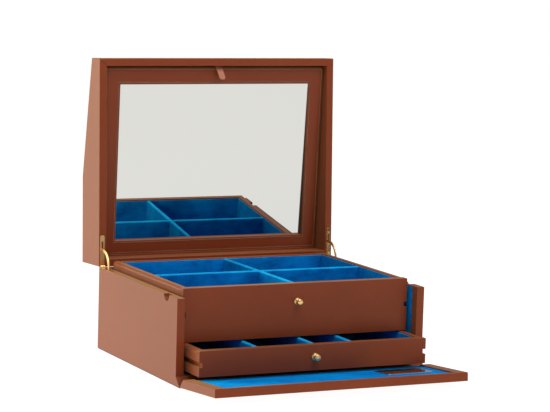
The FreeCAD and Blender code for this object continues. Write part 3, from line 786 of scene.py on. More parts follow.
# ---- geometry nodes --------------------------------------------------------------------------
class Recipe(Tree):
    """A geometry-node tree with named inputs that ends in real, painted mesh."""

    def __init__(self, name: str, inputs: Sequence[tuple[str, str, object]]) -> None:
        """Start a tree.

        Args:
            name: the tree's name.
            inputs: (name, socket type, default) of each input after the geometry.
        """
        super().__init__(bpy.data.node_groups.new(name, "GeometryNodeTree"))
        ports = self.tree.interface
        ports.new_socket("Geometry", in_out="INPUT", socket_type="NodeSocketGeometry")
        for label, kind, default in inputs:
            port = ports.new_socket(label, in_out="INPUT", socket_type=kind)
            port.default_value = default
        ports.new_socket("Finish", in_out="INPUT", socket_type="NodeSocketMaterial")
        ports.new_socket("Geometry", in_out="OUTPUT", socket_type="NodeSocketGeometry")
        self.start = self.tree.nodes.new("NodeGroupInput")
        self.end = self.tree.nodes.new("NodeGroupOutput")

    def given(self, name: str) -> bpy.types.NodeSocket:
        """One of the tree's inputs."""
        return self.start.outputs[name]

    def maths(self, operation: str, first: object, second: object) -> bpy.types.NodeSocket:
        """The result of one Math node."""
        node = self.node("ShaderNodeMath", {"operation": operation}, {0: first, 1: second})
        return node.outputs[0]

    def vector(self, x: object = 0.0, y: object = 0.0, z: object = 0.0) -> bpy.types.NodeSocket:
        """A vector from three numbers or sockets."""
        return self.node("ShaderNodeCombineXYZ", {}, {0: x, 1: y, 2: z}).outputs[0]

    def close(self, geometry: bpy.types.NodeSocket) -> None:
        """End the tree in real mesh with its finish.

        Args:
            geometry: what the tree has made.
        """
        real = self.node("GeometryNodeRealizeInstances", {}, {"Geometry": geometry})
        inputs = {"Geometry": real.outputs[0], "Material": self.given("Finish")}
        painted = self.node("GeometryNodeSetMaterial", {}, inputs)
        self.tree.links.new(painted.outputs[0], self.end.inputs[0])

    def bake(self, item: bpy.types.Object, finish: Finish, **values: object) -> None:
        """Run the tree on an object and keep the result as its plain mesh.

        Args:
            item: the object, whose mesh the tree starts from.
            finish: the finish of the result.
            values: the tree's other inputs; underscores stand for spaces.
        """
        modifier = item.modifiers.new("recipe", "NODES")
        modifier.node_group = self.tree
        given = {name.replace("_", " "): value for name, value in values.items()}
        given["Finish"] = PAINTS.get(finish)
        for socket in self.tree.interface.items_tree:
            if socket.in_out == "INPUT" and socket.name in given:
                modifier[socket.identifier] = given[socket.name]
        keep_result(item)


def keep_result(item: bpy.types.Object) -> None:
    """Make an object's evaluated mesh its own and drop its modifiers.

    Args:
        item: the object.
    """
    graph = bpy.context.evaluated_depsgraph_get()
    result = bpy.data.meshes.new_from_object(item.evaluated_get(graph))
    item.modifiers.clear()
    before = item.data
    item.data = result
    bpy.data.meshes.remove(before)
    result.name = item.name


def nap_recipe() -> Recipe:
    """The unevenness of glued velvet: the surface sinks a little, by smooth noise.

    Returns:
        The recipe.
    """
    recipe = Recipe("velvet_nap", [("Sink", "NodeSocketFloat", 0.0003),
                                   ("Grain", "NodeSocketFloat", 90.0)])
    place = recipe.node("GeometryNodeInputPosition").outputs[0]
    noise = recipe.node("ShaderNodeTexNoise", {"noise_dimensions": "3D"},
                        {"Vector": place, "Scale": recipe.given("Grain"), "Detail": 3.0})
    depth = recipe.maths("MULTIPLY", noise.outputs[0], recipe.given("Sink"))
    inward = recipe.maths("MULTIPLY", depth, -1.0)
    normal = recipe.node("GeometryNodeInputNormal").outputs[0]
    offset = recipe.node("ShaderNodeVectorMath", {"operation": "SCALE"},
                         {0: normal, "Scale": inward})
    moved = recipe.node("GeometryNodeSetPosition", {},
                        {"Geometry": recipe.given("Geometry"), "Offset": offset.outputs[0]})
    recipe.close(moved.outputs[0])
    return recipe


def screw_recipe() -> Recipe:
    """Slotted countersunk screws at the points of a mesh, pointing down its local -Z.

    Returns:
        The recipe.
    """
    sides = 28
    tip = 0.0003
    recipe = Recipe("slotted_screws", [
        ("Head Radius", "NodeSocketFloat", 0.0017), ("Shank Radius", "NodeSocketFloat", 0.0009),
        ("Sink", "NodeSocketFloat", 0.0012), ("Length", "NodeSocketFloat", 0.008),
        ("Slot Width", "NodeSocketFloat", 0.0005), ("Slot Depth", "NodeSocketFloat", 0.0005),
        ("Lean", "NodeSocketFloat", 0.0), ("Seed", "NodeSocketInt", 7)])
    sink = recipe.given("Sink")
    length = recipe.given("Length")
    head = recipe.node("GeometryNodeMeshCone", {"fill_type": "NGON"}, {
        "Vertices": sides, "Radius Top": recipe.given("Head Radius"),
        "Radius Bottom": recipe.given("Shank Radius"), "Depth": sink})
    shank = recipe.node("GeometryNodeMeshCone", {"fill_type": "NGON"}, {
        "Vertices": sides, "Radius Top": recipe.given("Shank Radius"),
        "Radius Bottom": tip, "Depth": recipe.maths("SUBTRACT", length, sink)})
    cones = []
    for cone, depth in ((head, sink), (shank, length)):
        drop = recipe.vector(z=recipe.maths("MULTIPLY", depth, -1.0))
        cones.append(recipe.node("GeometryNodeTransform", {}, {
            "Geometry": cone.outputs[0], "Translation": drop}))
    slot = recipe.node("GeometryNodeMeshCube", {}, {"Size": recipe.vector(
        recipe.maths("MULTIPLY", recipe.given("Head Radius"), 3.0), recipe.given("Slot Width"),
        recipe.maths("MULTIPLY", recipe.given("Slot Depth"), 2.0))})
    slotted = recipe.node("GeometryNodeMeshBoolean", {"operation": "DIFFERENCE"}, {
        "Mesh 1": cones[0].outputs[0], "Mesh 2": slot.outputs[0]})
    both = recipe.node("GeometryNodeJoinGeometry")
    for part in (slotted, cones[1]):
        recipe.tree.links.new(part.outputs[0], both.inputs[0])
    turn = recipe.node("FunctionNodeRandomValue", {"data_type": "FLOAT"}, {
        2: 0.0, 3: math.pi, "Seed": recipe.given("Seed")})
    spots = recipe.node("GeometryNodeInstanceOnPoints", {}, {
        "Points": recipe.given("Geometry"), "Instance": both.outputs[0],
        "Rotation": recipe.vector(recipe.given("Lean"))})
    spun = recipe.node("GeometryNodeRotateInstances", {}, {
        "Instances": spots.outputs[0], "Rotation": recipe.vector(0.0, 0.0, turn.outputs[1]),
        "Local Space": True})
    recipe.close(spun.outputs[0])
    return recipe


def stitch_recipe() -> Recipe:
    """Thread stitches along the edges of a mesh, each a short rounded bar.

    Returns:
        The recipe.
    """
    recipe = Recipe("stitches", [
        ("Pitch", "NodeSocketFloat", 0.0014), ("Stitch", "NodeSocketFloat", 0.0010),
        ("Thread Radius", "NodeSocketFloat", 0.00016)])
    path = recipe.node("GeometryNodeMeshToCurve", {}, {"Mesh": recipe.given("Geometry")})
    spaced = recipe.node("GeometryNodeResampleCurve", {"mode": "LENGTH"}, {
        "Curve": path.outputs[0], "Length": recipe.given("Pitch")})
    thread = recipe.node("GeometryNodeMeshUVSphere", {}, {
        "Segments": 6, "Rings": 5, "Radius": 1.0})
    half = recipe.maths("MULTIPLY", recipe.given("Stitch"), 0.5)
    size = recipe.vector(recipe.given("Thread Radius"), recipe.given("Thread Radius"), half)
    tangent = recipe.node("GeometryNodeInputTangent").outputs[0]
    aligned = recipe.node("FunctionNodeAlignRotationToVector", {"axis": "Z"},
                          {"Vector": tangent})
    spots = recipe.node("GeometryNodeInstanceOnPoints", {}, {
        "Points": spaced.outputs[0], "Instance": thread.outputs[0],
        "Rotation": aligned.outputs[0], "Scale": size})
    recipe.close(spots.outputs[0])
    return recipe


# ---- placing ---------------------------------------------------------------------------------
@dataclass(frozen=True)
class StitchSize:
    """A row of stitches, in millimetres."""

    pitch: float = 2.8
    length: float = 1.6
    thread: float = 0.5


@dataclass(frozen=True)
class ScrewSize:
    """A slotted countersunk screw, in millimetres, and the seed of the slots' turns."""

    head: float = 1.7
    shank: float = 0.9
    sink: float = 1.2
    length: float = 8.0
    slot: float = 0.5
    slot_depth: float = 0.45
    seed: int = 7


class Maker:
    """Turns forms into finished pieces on their bodies."""

    SHARP_ANGLE = math.radians(35.0)
    SOFT_SHARP_ANGLE = math.radians(50.0)
    NORMAL_WEIGHT = 80
    NAP_GRAIN = 90.0  # hollows per metre
    CREST_SLOPE = 0.35  # least upward part of the normal of a face with the painted highlight
    CREST_DEPTH = 2.0  # mm from the top

    def __init__(self) -> None:
        """Build the shared recipes."""
        self.nap = nap_recipe()
        self.screws = screw_recipe()
        self.stitches = stitch_recipe()

    @staticmethod
    def _object(name: str, form: Form, seat: Matrix | None) -> bpy.types.Object:
        """Make a linked object in metres, and use the form up.

        Args:
            name: the object's name.
            form: its form, in millimetres.
            seat: where the form is carried to first.

        Returns:
            The object.
        """
        if seat is not None:
            form.moved(seat)
        form.mesh.transform(Matrix.Scale(MM, 4))
        mesh = bpy.data.meshes.new(name)
        form.mesh.to_mesh(mesh)
        form.mesh.free()
        item = bpy.data.objects.new(name, mesh)
        bpy.context.scene.collection.objects.link(item)
        return item

    @staticmethod
    def _settle(item: bpy.types.Object, body: str, finish: Finish,
                stands_for: Sequence[str]) -> bpy.types.Object:
        """Give a piece its body, and hide the solids that it stands for.

        Args:
            item: the piece.
            body: the body it moves with.
            finish: not used.
            stands_for: the solids it replaces.

        Returns:
            The piece.
        """
        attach(item, body)
        if stands_for:
            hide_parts(*stands_for)
        LOG.info("%s: %d faces, on %s", item.name, len(item.data.polygons), body)
        return item

    def hard(self, name: str, form: Form, body: str, finish: Finish,
             stands_for: Sequence[str], seat: Matrix | None = None) -> bpy.types.Object:
        """Finish a firm piece, flat between its rounded edges.

        Args:
            name: the piece's name.
            form: its form, in millimetres.
            body: the body it moves with.
            finish: its finish.
            stands_for: the solids it replaces.
            seat: where its closed place is carried to.

        Returns:
            The piece.
        """
        item = self._object(name, form.faced(), seat)
        item.data.materials.append(PAINTS.get(finish))
        item.data.shade_smooth()
        item.data.set_sharp_from_angle(angle=self.SHARP_ANGLE)
        weighted = item.modifiers.new("weighted", "WEIGHTED_NORMAL")
        weighted.mode = "FACE_AREA"
        weighted.weight = self.NORMAL_WEIGHT
        weighted.keep_sharp = True
        keep_result(item)
        return self._settle(item, body, finish, stands_for)

    def soft(self, name: str, form: Form, body: str, finish: Finish,
             stands_for: Sequence[str], seat: Matrix | None = None,
             sink: float = 0.35) -> bpy.types.Object:
        """Finish a fabric-covered piece whose surface is slightly uneven.

        Args:
            name: the piece's name.
            form: its diced form, in millimetres.
            body: the body it moves with.
            finish: its finish.
            stands_for: the solids it replaces.
            seat: where its closed place is carried to.
            sink: the deepest hollow, in millimetres.

        Returns:
            The piece.
        """
        item = self._object(name, form.faced(), seat)
        self.nap.bake(item, finish, Sink=sink * MM, Grain=self.NAP_GRAIN)
        item.data.shade_smooth()
        item.data.set_sharp_from_angle(angle=self.SOFT_SHARP_ANGLE)
        return self._settle(item, body, finish, stands_for)

    @staticmethod
    def tinted(item: bpy.types.Object, finish: Finish, chosen: Picker) -> None:
        """Give some faces of a piece another finish.

        Args:
            item: the piece.
            finish: the finish of the chosen faces.
            chosen: picks the faces, in metres.
        """
        added = len(item.data.materials)
        item.data.materials.append(PAINTS.get(finish))
        for polygon in item.data.polygons:
            if chosen(polygon.center, polygon.normal):
                polygon.material_index = added

    def top_highlighted(self, item: bpy.types.Object) -> None:
        """Lighten a velvet piece along its top edge with lighter velvet: a painted highlight
        where light falls on the top.

        Args:
            item: the piece.
        """
        top = max(vertex.co.z for vertex in item.data.vertices)

        def crest(middle: Vector, normal: Vector) -> bool:
            """A face on the top edge."""
            return normal.z > self.CREST_SLOPE and middle.z > top - self.CREST_DEPTH * MM

        # painted highlight: the top faces get the lighter velvet
        self.tinted(item, Finish.PAINTED_HIGHLIGHT_PILE, crest)

    def fastened(self, name: str, spots: Sequence[Point3], body: str, lean: float,
                 stands_for: Sequence[str], size: ScrewSize) -> None:
        """Put slotted screws at spots.

        Args:
            name: the piece's name.
            spots: where the heads' tops are, in millimetres.
            body: the body they move with.
            lean: how far their axis is turned about X, in radians.
            stands_for: the solids they replace.
            size: the screws' sizes.
        """
        form = Form()
        for spot in spots:
            form.mesh.verts.new(spot)
        item = self._object(name, form, None)
        self.screws.bake(item, Finish.BRASS, Head_Radius=size.head * MM,
                         Shank_Radius=size.shank * MM, Sink=size.sink * MM,
                         Length=size.length * MM, Slot_Width=size.slot * MM,
                         Slot_Depth=size.slot_depth * MM, Lean=lean, Seed=size.seed)
        self._settle(item, body, Finish.BRASS, stands_for)

    def stitched(self, name: str, paths: Sequence[Sequence[Point3]], body: str, seat: Matrix,
                 size: StitchSize, closed: bool, finish: Finish = Finish.THREAD) -> None:
        """Run stitches along paths.

        Args:
            name: the piece's name.
            paths: the lines, in millimetres.
            body: the body they move with.
            seat: where the lines are carried to.
            size: the stitches' sizes.
            closed: whether each line comes back to its start.
            finish: the thread's finish.
        """
        form = Form()
        for path in paths:
            points = [form.mesh.verts.new(point) for point in path]
            pairs = list(zip(points, points[1:]))
            if closed:
                pairs.append((points[-1], points[0]))
            for pair in pairs:
                form.mesh.edges.new(pair)
        form.mesh.transform(seat)
        item = self._object(name, form, None)
        self.stitches.bake(item, finish, Pitch=size.pitch * MM,
                           Stitch=size.length * MM, Thread_Radius=size.thread * MM)
        item.data.shade_smooth()
        self._settle(item, body, finish, ())

    @staticmethod
    def dressed(finish: Finish, *nodes: str) -> None:
        """Give a finish to solids that show as they are.

        Args:
            finish: the finish.
            nodes: the solids' names.
        """
        for node in nodes:
            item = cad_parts[node]
            item.data.materials.clear()
            item.data.materials.append(PAINTS.get(finish))
            LOG.info("%s: solid kept, %s", node, finish.value.name)


# ---- shared sizes ----------------------------------------------------------------------------
@dataclass(frozen=True)
class BoxSizes:
    """Sizes that the sub-assemblies share, in millimetres."""

    width: float = 300.0
    depth: float = 240.0
    side_top: float = 95.0
    board: float = 9.0
    base_felt: float = 0.8
    base_board: float = 10.0
    toe: float = 10.0
    velvet: float = 1.0
    edge: float = 1.0
    lid_gap: float = 0.3
    lid_angle: float = 92.5
    flap_angle: float = 85.6

    @property
    def half(self) -> float:
        """Half the width."""
        return self.width / 2

    @property
    def inner(self) -> float:
        """Middle to the side boards' inner faces."""
        return self.half - self.board

    @property
    def back(self) -> float:
        """The back's Y."""
        return self.depth / 2

    @property
    def front(self) -> float:
        """The toe's Y."""
        return -self.depth / 2

    @property
    def side_front(self) -> float:
        """The side boards' front edges."""
        return self.front + self.toe

    @property
    def base_top(self) -> float:
        """The base board's top."""
        return self.base_felt + self.base_board

    @property
    def rim(self) -> float:
        """The closed lid's rim."""
        return self.side_top + self.lid_gap

    @property
    def hinge_z(self) -> float:
        """The lid hinge's height."""
        return self.side_top + self.lid_gap / 2

    @property
    def lid_seat(self) -> Matrix:
        """Closed lid to open lid."""
        return turn_about(self.back, self.hinge_z, -self.lid_angle)

    @property
    def flap_seat(self) -> Matrix:
        """Closed flap to lowered flap."""
        return turn_about(self.front, self.base_felt, self.flap_angle)


# ---- quadrant hinges -------------------------------------------------------------------------
@dataclass
class Hinges:
    """The pair of quadrant hinges: leaves, screws, pins and curved stays."""

    box: BoxSizes
    maker: Maker
    screw: ScrewSize = ScrewSize()
    leaf_width: float = 5.4
    leaf_length: float = 36.4
    leaf_thickness: float = 1.2
    from_side: float = 4.0
    knuckle: float = 2.0
    room: float = 0.3
    split: float = 0.2
    pin: float = 0.85
    pin_gap: float = 0.05
    stay_inner: float = 18.2
    stay_outer: float = 21.2
    stay_thickness: float = 1.4
    embed: float = 7.0
    lug: float = 0.8
    lug_angle: float = 2.6
    room_angle: float = 3.0
    slot_end: float = 29.5
    slot_nose: float = 0.9
    screw_spots: tuple[float, float] = (33.4, 9.0)
    nose: float = 1.6
    leaf_edge: float = 0.22
    stay_edge: float = 0.2
    stay_steps: int = 40
    lug_steps: int = 2
    mortise_step: float = 4.0

    @property
    def middle(self) -> float:
        """X of a leaf's middle."""
        return self.box.half - self.from_side

    def arc(self, radius: float, start: float, end: float, steps: int) -> list[Point2]:
        """Points about the lid's hinge line.

        Args:
            radius: their distance from it.
            start: the first angle, up from straight forward, in degrees.
            end: the last angle.
            steps: straight steps between them.

        Returns:
            The points, as (y, z).
        """
        points = []
        for step in range(steps + 1):
            turn = math.radians(start + (end - start) * step / steps)
            points.append((self.box.back - radius * math.cos(turn),
                           self.box.hinge_z + radius * math.sin(turn)))
        return points

    def ring(self, inner: float, outer: float, start: float, end: float, half: float) -> Form:
        """Part of a ring about the hinge line, on the right-hand leaf's middle.

        Args:
            inner: its inner radius.
            outer: its outer radius.
            start: its first angle, in degrees.
            end: its last angle.
            half: half its width.

        Returns:
            The part of a ring.
        """
        steps = int(abs(end - start) / self.mortise_step)
        outline = self.arc(inner, start, end, steps) + self.arc(outer, end, start, steps)
        return Form.prism(outline, self.middle - half, self.middle + half)

    def rod(self, radius: float, x0: float, x1: float) -> Form:
        """A round bar on the hinge line."""
        return Form.rod(radius, (x0, self.box.back, self.box.hinge_z), x1 - x0)

    def beds(self) -> list[Form]:
        """What the right-hand hinge takes out of the case's side board.

        Returns:
            The leaf's bed, the stay's mortise and the knuckles' room.
        """
        top = self.box.side_top
        half = self.leaf_width / 2
        room = self.stay_thickness / 2 + self.room
        bed = Form.block((self.middle - half, self.middle + half),
                         (self.box.back - self.leaf_length, self.box.back + PAST),
                         (top - self.leaf_thickness, top + PAST))
        depth = self.box.lid_angle / 2 + self.embed + self.room_angle
        mortise = self.ring(self.stay_inner - self.lug - self.room,
                            self.stay_outer + self.lug + self.room, -depth, self.room_angle, room)
        reach = half + self.room
        knuckles = self.rod(self.knuckle + self.room, self.middle - reach, self.middle + reach)
        return [bed, mortise, knuckles]

    def raised(self, form: Form) -> Form:
        """Mirror a case-side form up across the joint, to the closed lid."""
        over = Matrix.Translation((0.0, 0.0, 2 * self.box.hinge_z))
        return form.moved(over @ Matrix.Scale(-1.0, 4, (0.0, 0.0, 1.0)))

    def leaf(self, spans: Sequence[Point2]) -> Form:
        """The right-hand case leaf with its knuckles.

        Args:
            spans: the knuckles' widths from the leaf's inner edge.

        Returns:
            The leaf, flush with the side board's top.
        """
        top = self.box.side_top
        low = top - self.leaf_thickness
        half = self.leaf_width / 2
        start = self.middle - half
        end = self.middle + half
        front = self.box.back - self.leaf_length
        clear = self.knuckle + self.room
        outline = rounded_outline([(start, front, self.nose), (end, front, self.nose),
                                   (end, self.box.back - clear, 0.0),
                                   (start, self.box.back - clear, 0.0)], 6)
        plate = Form.prism(outline, low, top, "Z").softened(self.leaf_edge, 2)
        for first, last in spans:
            arm = Form.block((start + first, start + last),
                             (self.box.back - clear - PAST, self.box.back),
                             (low, top - 2 * MERGED))
            plate.fused(arm, self.rod(self.knuckle, start + first, start + last))
        half_slot = self.stay_thickness / 2 + self.room
        nose = half_slot * self.slot_nose
        slot_start = self.box.back - self.slot_end
        slot_end = self.box.back - self.stay_inner + self.room
        left, right = self.middle - half_slot, self.middle + half_slot
        slot = rounded_outline([(left, slot_start, nose), (right, slot_start, nose),
                                (right, slot_end, 0.0), (left, slot_end, 0.0)], 5)
        plate.cut(Form.prism(slot, low - PAST, top + PAST, "Z"))
        plate.cut(self.rod(self.pin + self.pin_gap, start - PAST, end + PAST))
        screw = self.screw
        # (radius, height over the leaf), a little wider than the head
        countersink = [(screw.shank, -screw.sink - 0.2), (screw.shank, -screw.sink),
                       (screw.head + 0.02, 0.02), (screw.head + 0.05, 0.3)]
        for spot in self.screw_spots:
            centre = (self.middle, self.box.back - spot, top)
            plate.cut(Form.lathe(countersink, centre, "Z", 28))
        return plate

    def stay(self) -> Form:
        """The right-hand curved stay with a stop lug at each end.

        Returns:
            The stay.
        """
        half = self.stay_thickness / 2
        low = -self.embed
        high = self.box.lid_angle + self.embed
        small = self.stay_inner - self.lug
        large = self.stay_outer + self.lug
        first = low + self.lug_angle
        last = high - self.lug_angle
        outline = []
        for radius, start, end, steps in (
                (small, low, first, self.lug_steps),
                (self.stay_inner, first, last, self.stay_steps),
                (small, last, high, self.lug_steps), (large, high, last, self.lug_steps),
                (self.stay_outer, last, first, self.stay_steps),
                (large, first, low, self.lug_steps)):
            outline += self.arc(radius, start, end, steps)
        form = Form.prism(outline, self.middle - half, self.middle + half)
        return form.softened(self.stay_edge, 2)

    def build(self) -> None:
        """Make and place both hinges."""
        third = self.leaf_width / 3
        play = self.split / 2
        outer_spans = [(0.0, third - play), (2 * third + play, self.leaf_width)]
        inner_spans = [(third + play, 2 * third - play)]
        right = [self.leaf(outer_spans), self.raised(self.leaf(inner_spans)), self.stay()]
        left = [form.mirrored() for form in right]
        for side, (case_leaf, lid_leaf, stay) in (("right", right), ("left", left)):
            self.maker.hard(side + "_hinge_case_leaf", case_leaf, "case", Finish.BRASS,
                            [side + "_case_leaf"])
            self.maker.hard(side + "_hinge_lid_leaf", lid_leaf, "lid", Finish.BRASS,
                            [side + "_lid_leaf"], self.box.lid_seat)
            self.maker.hard(side + "_curved_stay", stay, side + "_stay", Finish.BRASS,
                            [side + "_stay"])
        top = self.box.side_top
        spots = [(side * self.middle, self.box.back - spot, top)
                 for side in (1, -1) for spot in self.screw_spots]
        self.maker.fastened("case_leaf_screws", spots, "case", 0.0, ["case_hinge_screws"],
                            self.screw)
        lifted = [tuple(self.box.lid_seat @ Vector((x, y, 2 * self.box.hinge_z - z)))
                  for x, y, z in spots]
        lean = math.pi - math.radians(self.box.lid_angle)
        self.maker.fastened("lid_leaf_screws", lifted, "lid", lean, ["lid_hinge_screws"],
                            self.screw)
        self.maker.dressed(Finish.BRASS, "hinge_pins")


# ---- case ------------------------------------------------------------------------------------
@dataclass
class Case:
    """The leather-covered case with its velvet linings, runners and base felt."""

    box: BoxSizes
    maker: Maker
    hinges: Hinges
    leather_band: float = 10.5
    notch_radius: float = 7.0
    notch_depth: float = 5.5
    notch_from_front: float = 30.0
    felt_inset: float = 0.4
    felt_front_inset: float = 1.5
    felt_edge: float = 0.2
    felt_nap: float = 0.15
    side_lining_edge: float = 0.45
    lining_edge: float = 0.4
    dice: float = 7.0

    def shell(self) -> Form:
        """Sides, back and base as one wrapped carcass, with the hinge beds cut in.

        Returns:
            The carcass.
        """
        box = self.box
        side = [(box.front, box.base_felt), (box.back, box.base_felt),
                (box.back, box.side_top), (box.side_front, box.side_top),
                (box.side_front, box.base_top)]
        right = Form.prism(side, box.inner, box.half)
        base = [(box.front, box.base_felt), (box.back, box.base_felt), (box.back, box.base_top),
                (box.side_front, box.base_top)]
        bottom = Form.prism(base, -box.inner, box.inner)
        back = Form.block((-box.inner, box.inner), (box.back - box.board, box.back),
                          (box.base_felt, box.side_top))
        left = right.mirrored()
        shell = right.fused(bottom, back, left)
        notch = Form.rod(self.notch_radius,
                         (box.half - self.notch_depth, box.side_front + self.notch_from_front,
                          box.side_top), self.notch_depth + PAST, segments=48)
        shell.cut(notch, notch.mirrored())

        def wrapped(middle: Vector, along: Vector) -> bool:
            """Every fold but the toe's tip, which the flap's bead lies along."""
            return not (abs(middle.y - box.front) < TOUCHING and abs(along.x) > ALONG)

        shell.softened(box.edge, 3, wrapped)
        for bed in self.hinges.beds():
            shell.cut(bed, bed.mirrored())
        return shell

    def linings(self) -> None:
        """Velvet on the sides, the back and the base."""
        box = self.box
        low = box.base_top + box.velvet
        high = box.side_top - box.velvet
        back = box.back - box.board - box.velvet
        side = Form.block((box.inner - box.velvet, box.inner),
                          (box.side_front + self.leather_band, back), (low, high))
        side.softened(self.side_lining_edge, 2).diced(self.dice)
        both = side.mirrored().joined(side)
        rear = Form.block((-box.inner, box.inner), (back, back + box.velvet), (low, high))
        rear.softened(self.lining_edge, 2).diced(self.dice)
        floor = Form.block((-box.inner, box.inner),
                           (box.side_front + self.leather_band, back + box.velvet),
                           (box.base_top, box.base_top + box.velvet))
        floor.softened(self.lining_edge, 2).diced(self.dice)
        for name, form in (("side_linings", both), ("back_lining", rear), ("base_lining", floor)):
            self.maker.soft("velvet_" + name, form, "case", Finish.VELVET, [name])

    def build(self) -> None:
        """Make and place the case."""
        self.maker.hard("case_carcass", self.shell(), "case", Finish.LEATHER,
                        ["case_left_side", "case_right_side", "case_back", "case_base"])
        self.linings()
        box = self.box
        inset = self.felt_inset
        felt = Form.block((inset - box.half, box.half - inset),
                          (box.front + self.felt_front_inset, box.back - inset),
                          (0.0, box.base_felt))
        felt.softened(self.felt_edge, 2).diced(self.dice)
        self.maker.soft("felt_pad", felt, "case", Finish.FELT, ["base_felt"],
                        sink=self.felt_nap)
        self.maker.dressed(Finish.LEATHER, "flap_seam")
        self.maker.dressed(Finish.RUNNER, "upper_runners", "lower_runners")


# ---- flap ------------------------------------------------------------------------------------
@dataclass
class Flap:
    """The drop-down front with its velvet panel and bare plate."""

    box: BoxSizes
    maker: Maker
    thickness: float = 9.7
    seam: float = 0.7
    soft_gap: float = 0.3
    top_gap: float = 0.1
    end_border: float = 13.0
    edge_border: float = 6.0
    edge: float = 0.85
    sink: float = 1.5
    velvet_edge: float = 0.4
    velvet_nap: float = 0.3
    dice: float = 4.5
    plate_length: float = 56.0
    plate_width: float = 36.0
    plate_thickness: float = 0.8
    plate_corner: float = 3.0
    plate_edge: float = 0.25
    plate_from_end: float = 14.0

    def build(self) -> None:
        """Make the panel, its lining and the plate, closed, and lower them."""
        box = self.box
        inner = box.front + self.thickness
        foot = box.base_felt + self.soft_gap
        head = box.side_top - self.top_gap
        outline = [(box.front, foot), (inner, foot + self.thickness), (inner, head),
                   (box.front, head)]
        panel = Form.prism(outline, -box.half, box.half)
        half = box.half - self.end_border
        surface = inner - self.sink
        bed_foot = foot + self.thickness - self.sink
        bed_head = head - self.edge_border
        panel.cut(Form.block((-half, half), (surface - box.velvet, inner + PAST),
                             (box.base_felt - 2 * PAST, bed_head)))

        def wrapped(middle: Vector, along: Vector) -> bool:
            """Every fold but the hinge edge."""
            return middle.z > foot + TOUCHING or abs(along.x) < ALONG

        panel.softened(self.edge, 3, wrapped)
        panel.cut(Form.rod(self.seam + self.soft_gap,
                           (-box.half - PAST, box.front, box.base_felt), box.width + 2 * PAST))
        self.maker.hard("flap_board", panel, "flap", Finish.LEATHER, ["flap_panel"],
                        box.flap_seat)
        sheet = Form.prism([(surface - box.velvet, bed_foot - box.velvet), (surface, bed_foot),
                            (surface, bed_head), (surface - box.velvet, bed_head)], -half, half)
        sheet.softened(self.velvet_edge, 2).diced(self.dice)
        # painted light: the flap's velvet is a brighter copy of the velvet
        self.maker.soft("flap_velvet", sheet, "flap", Finish.FLAP_PAINTED_LIGHT, ["flap_lining"],
                        box.flap_seat, self.velvet_nap)
        end = half - self.plate_from_end
        middle = (bed_foot + bed_head) / 2
        low = middle - self.plate_width / 2
        high = middle + self.plate_width / 2
        corner = self.plate_corner
        outline = rounded_outline([(end - self.plate_length, low, corner), (end, low, corner),
                                   (end, high, corner), (end - self.plate_length, high, corner)],
                                  8)
        plate = Form.prism(outline, surface, surface + self.plate_thickness, "Y")
        plate.softened(self.plate_edge, 3)
        self.maker.hard("bare_plate", plate, "flap", Finish.PLATE, ["flap_plate"], box.flap_seat)


# ---- drawers ---------------------------------------------------------------------------------
# (radius, Y from the drawer's front) of a turned knob, from its flange ring to its head
KNOB_PROFILE = (
    (3.8, 0.0), (4.0, -0.15), (4.0, -0.45), (3.75, -0.62), (3.35, -0.70), (3.1, -0.78),
    (2.85, -0.98), (2.45, -1.15), (2.2, -1.4), (2.1, -2.4), (2.12, -3.4), (2.3, -4.15),
    (2.75, -4.62), (3.3, -4.95), (3.55, -5.4), (3.6, -6.0), (3.58, -6.6), (3.42, -7.1),
    (3.1, -7.5), (2.6, -7.75), (1.9, -7.9), (1.0, -7.98), (0.4, -8.0))


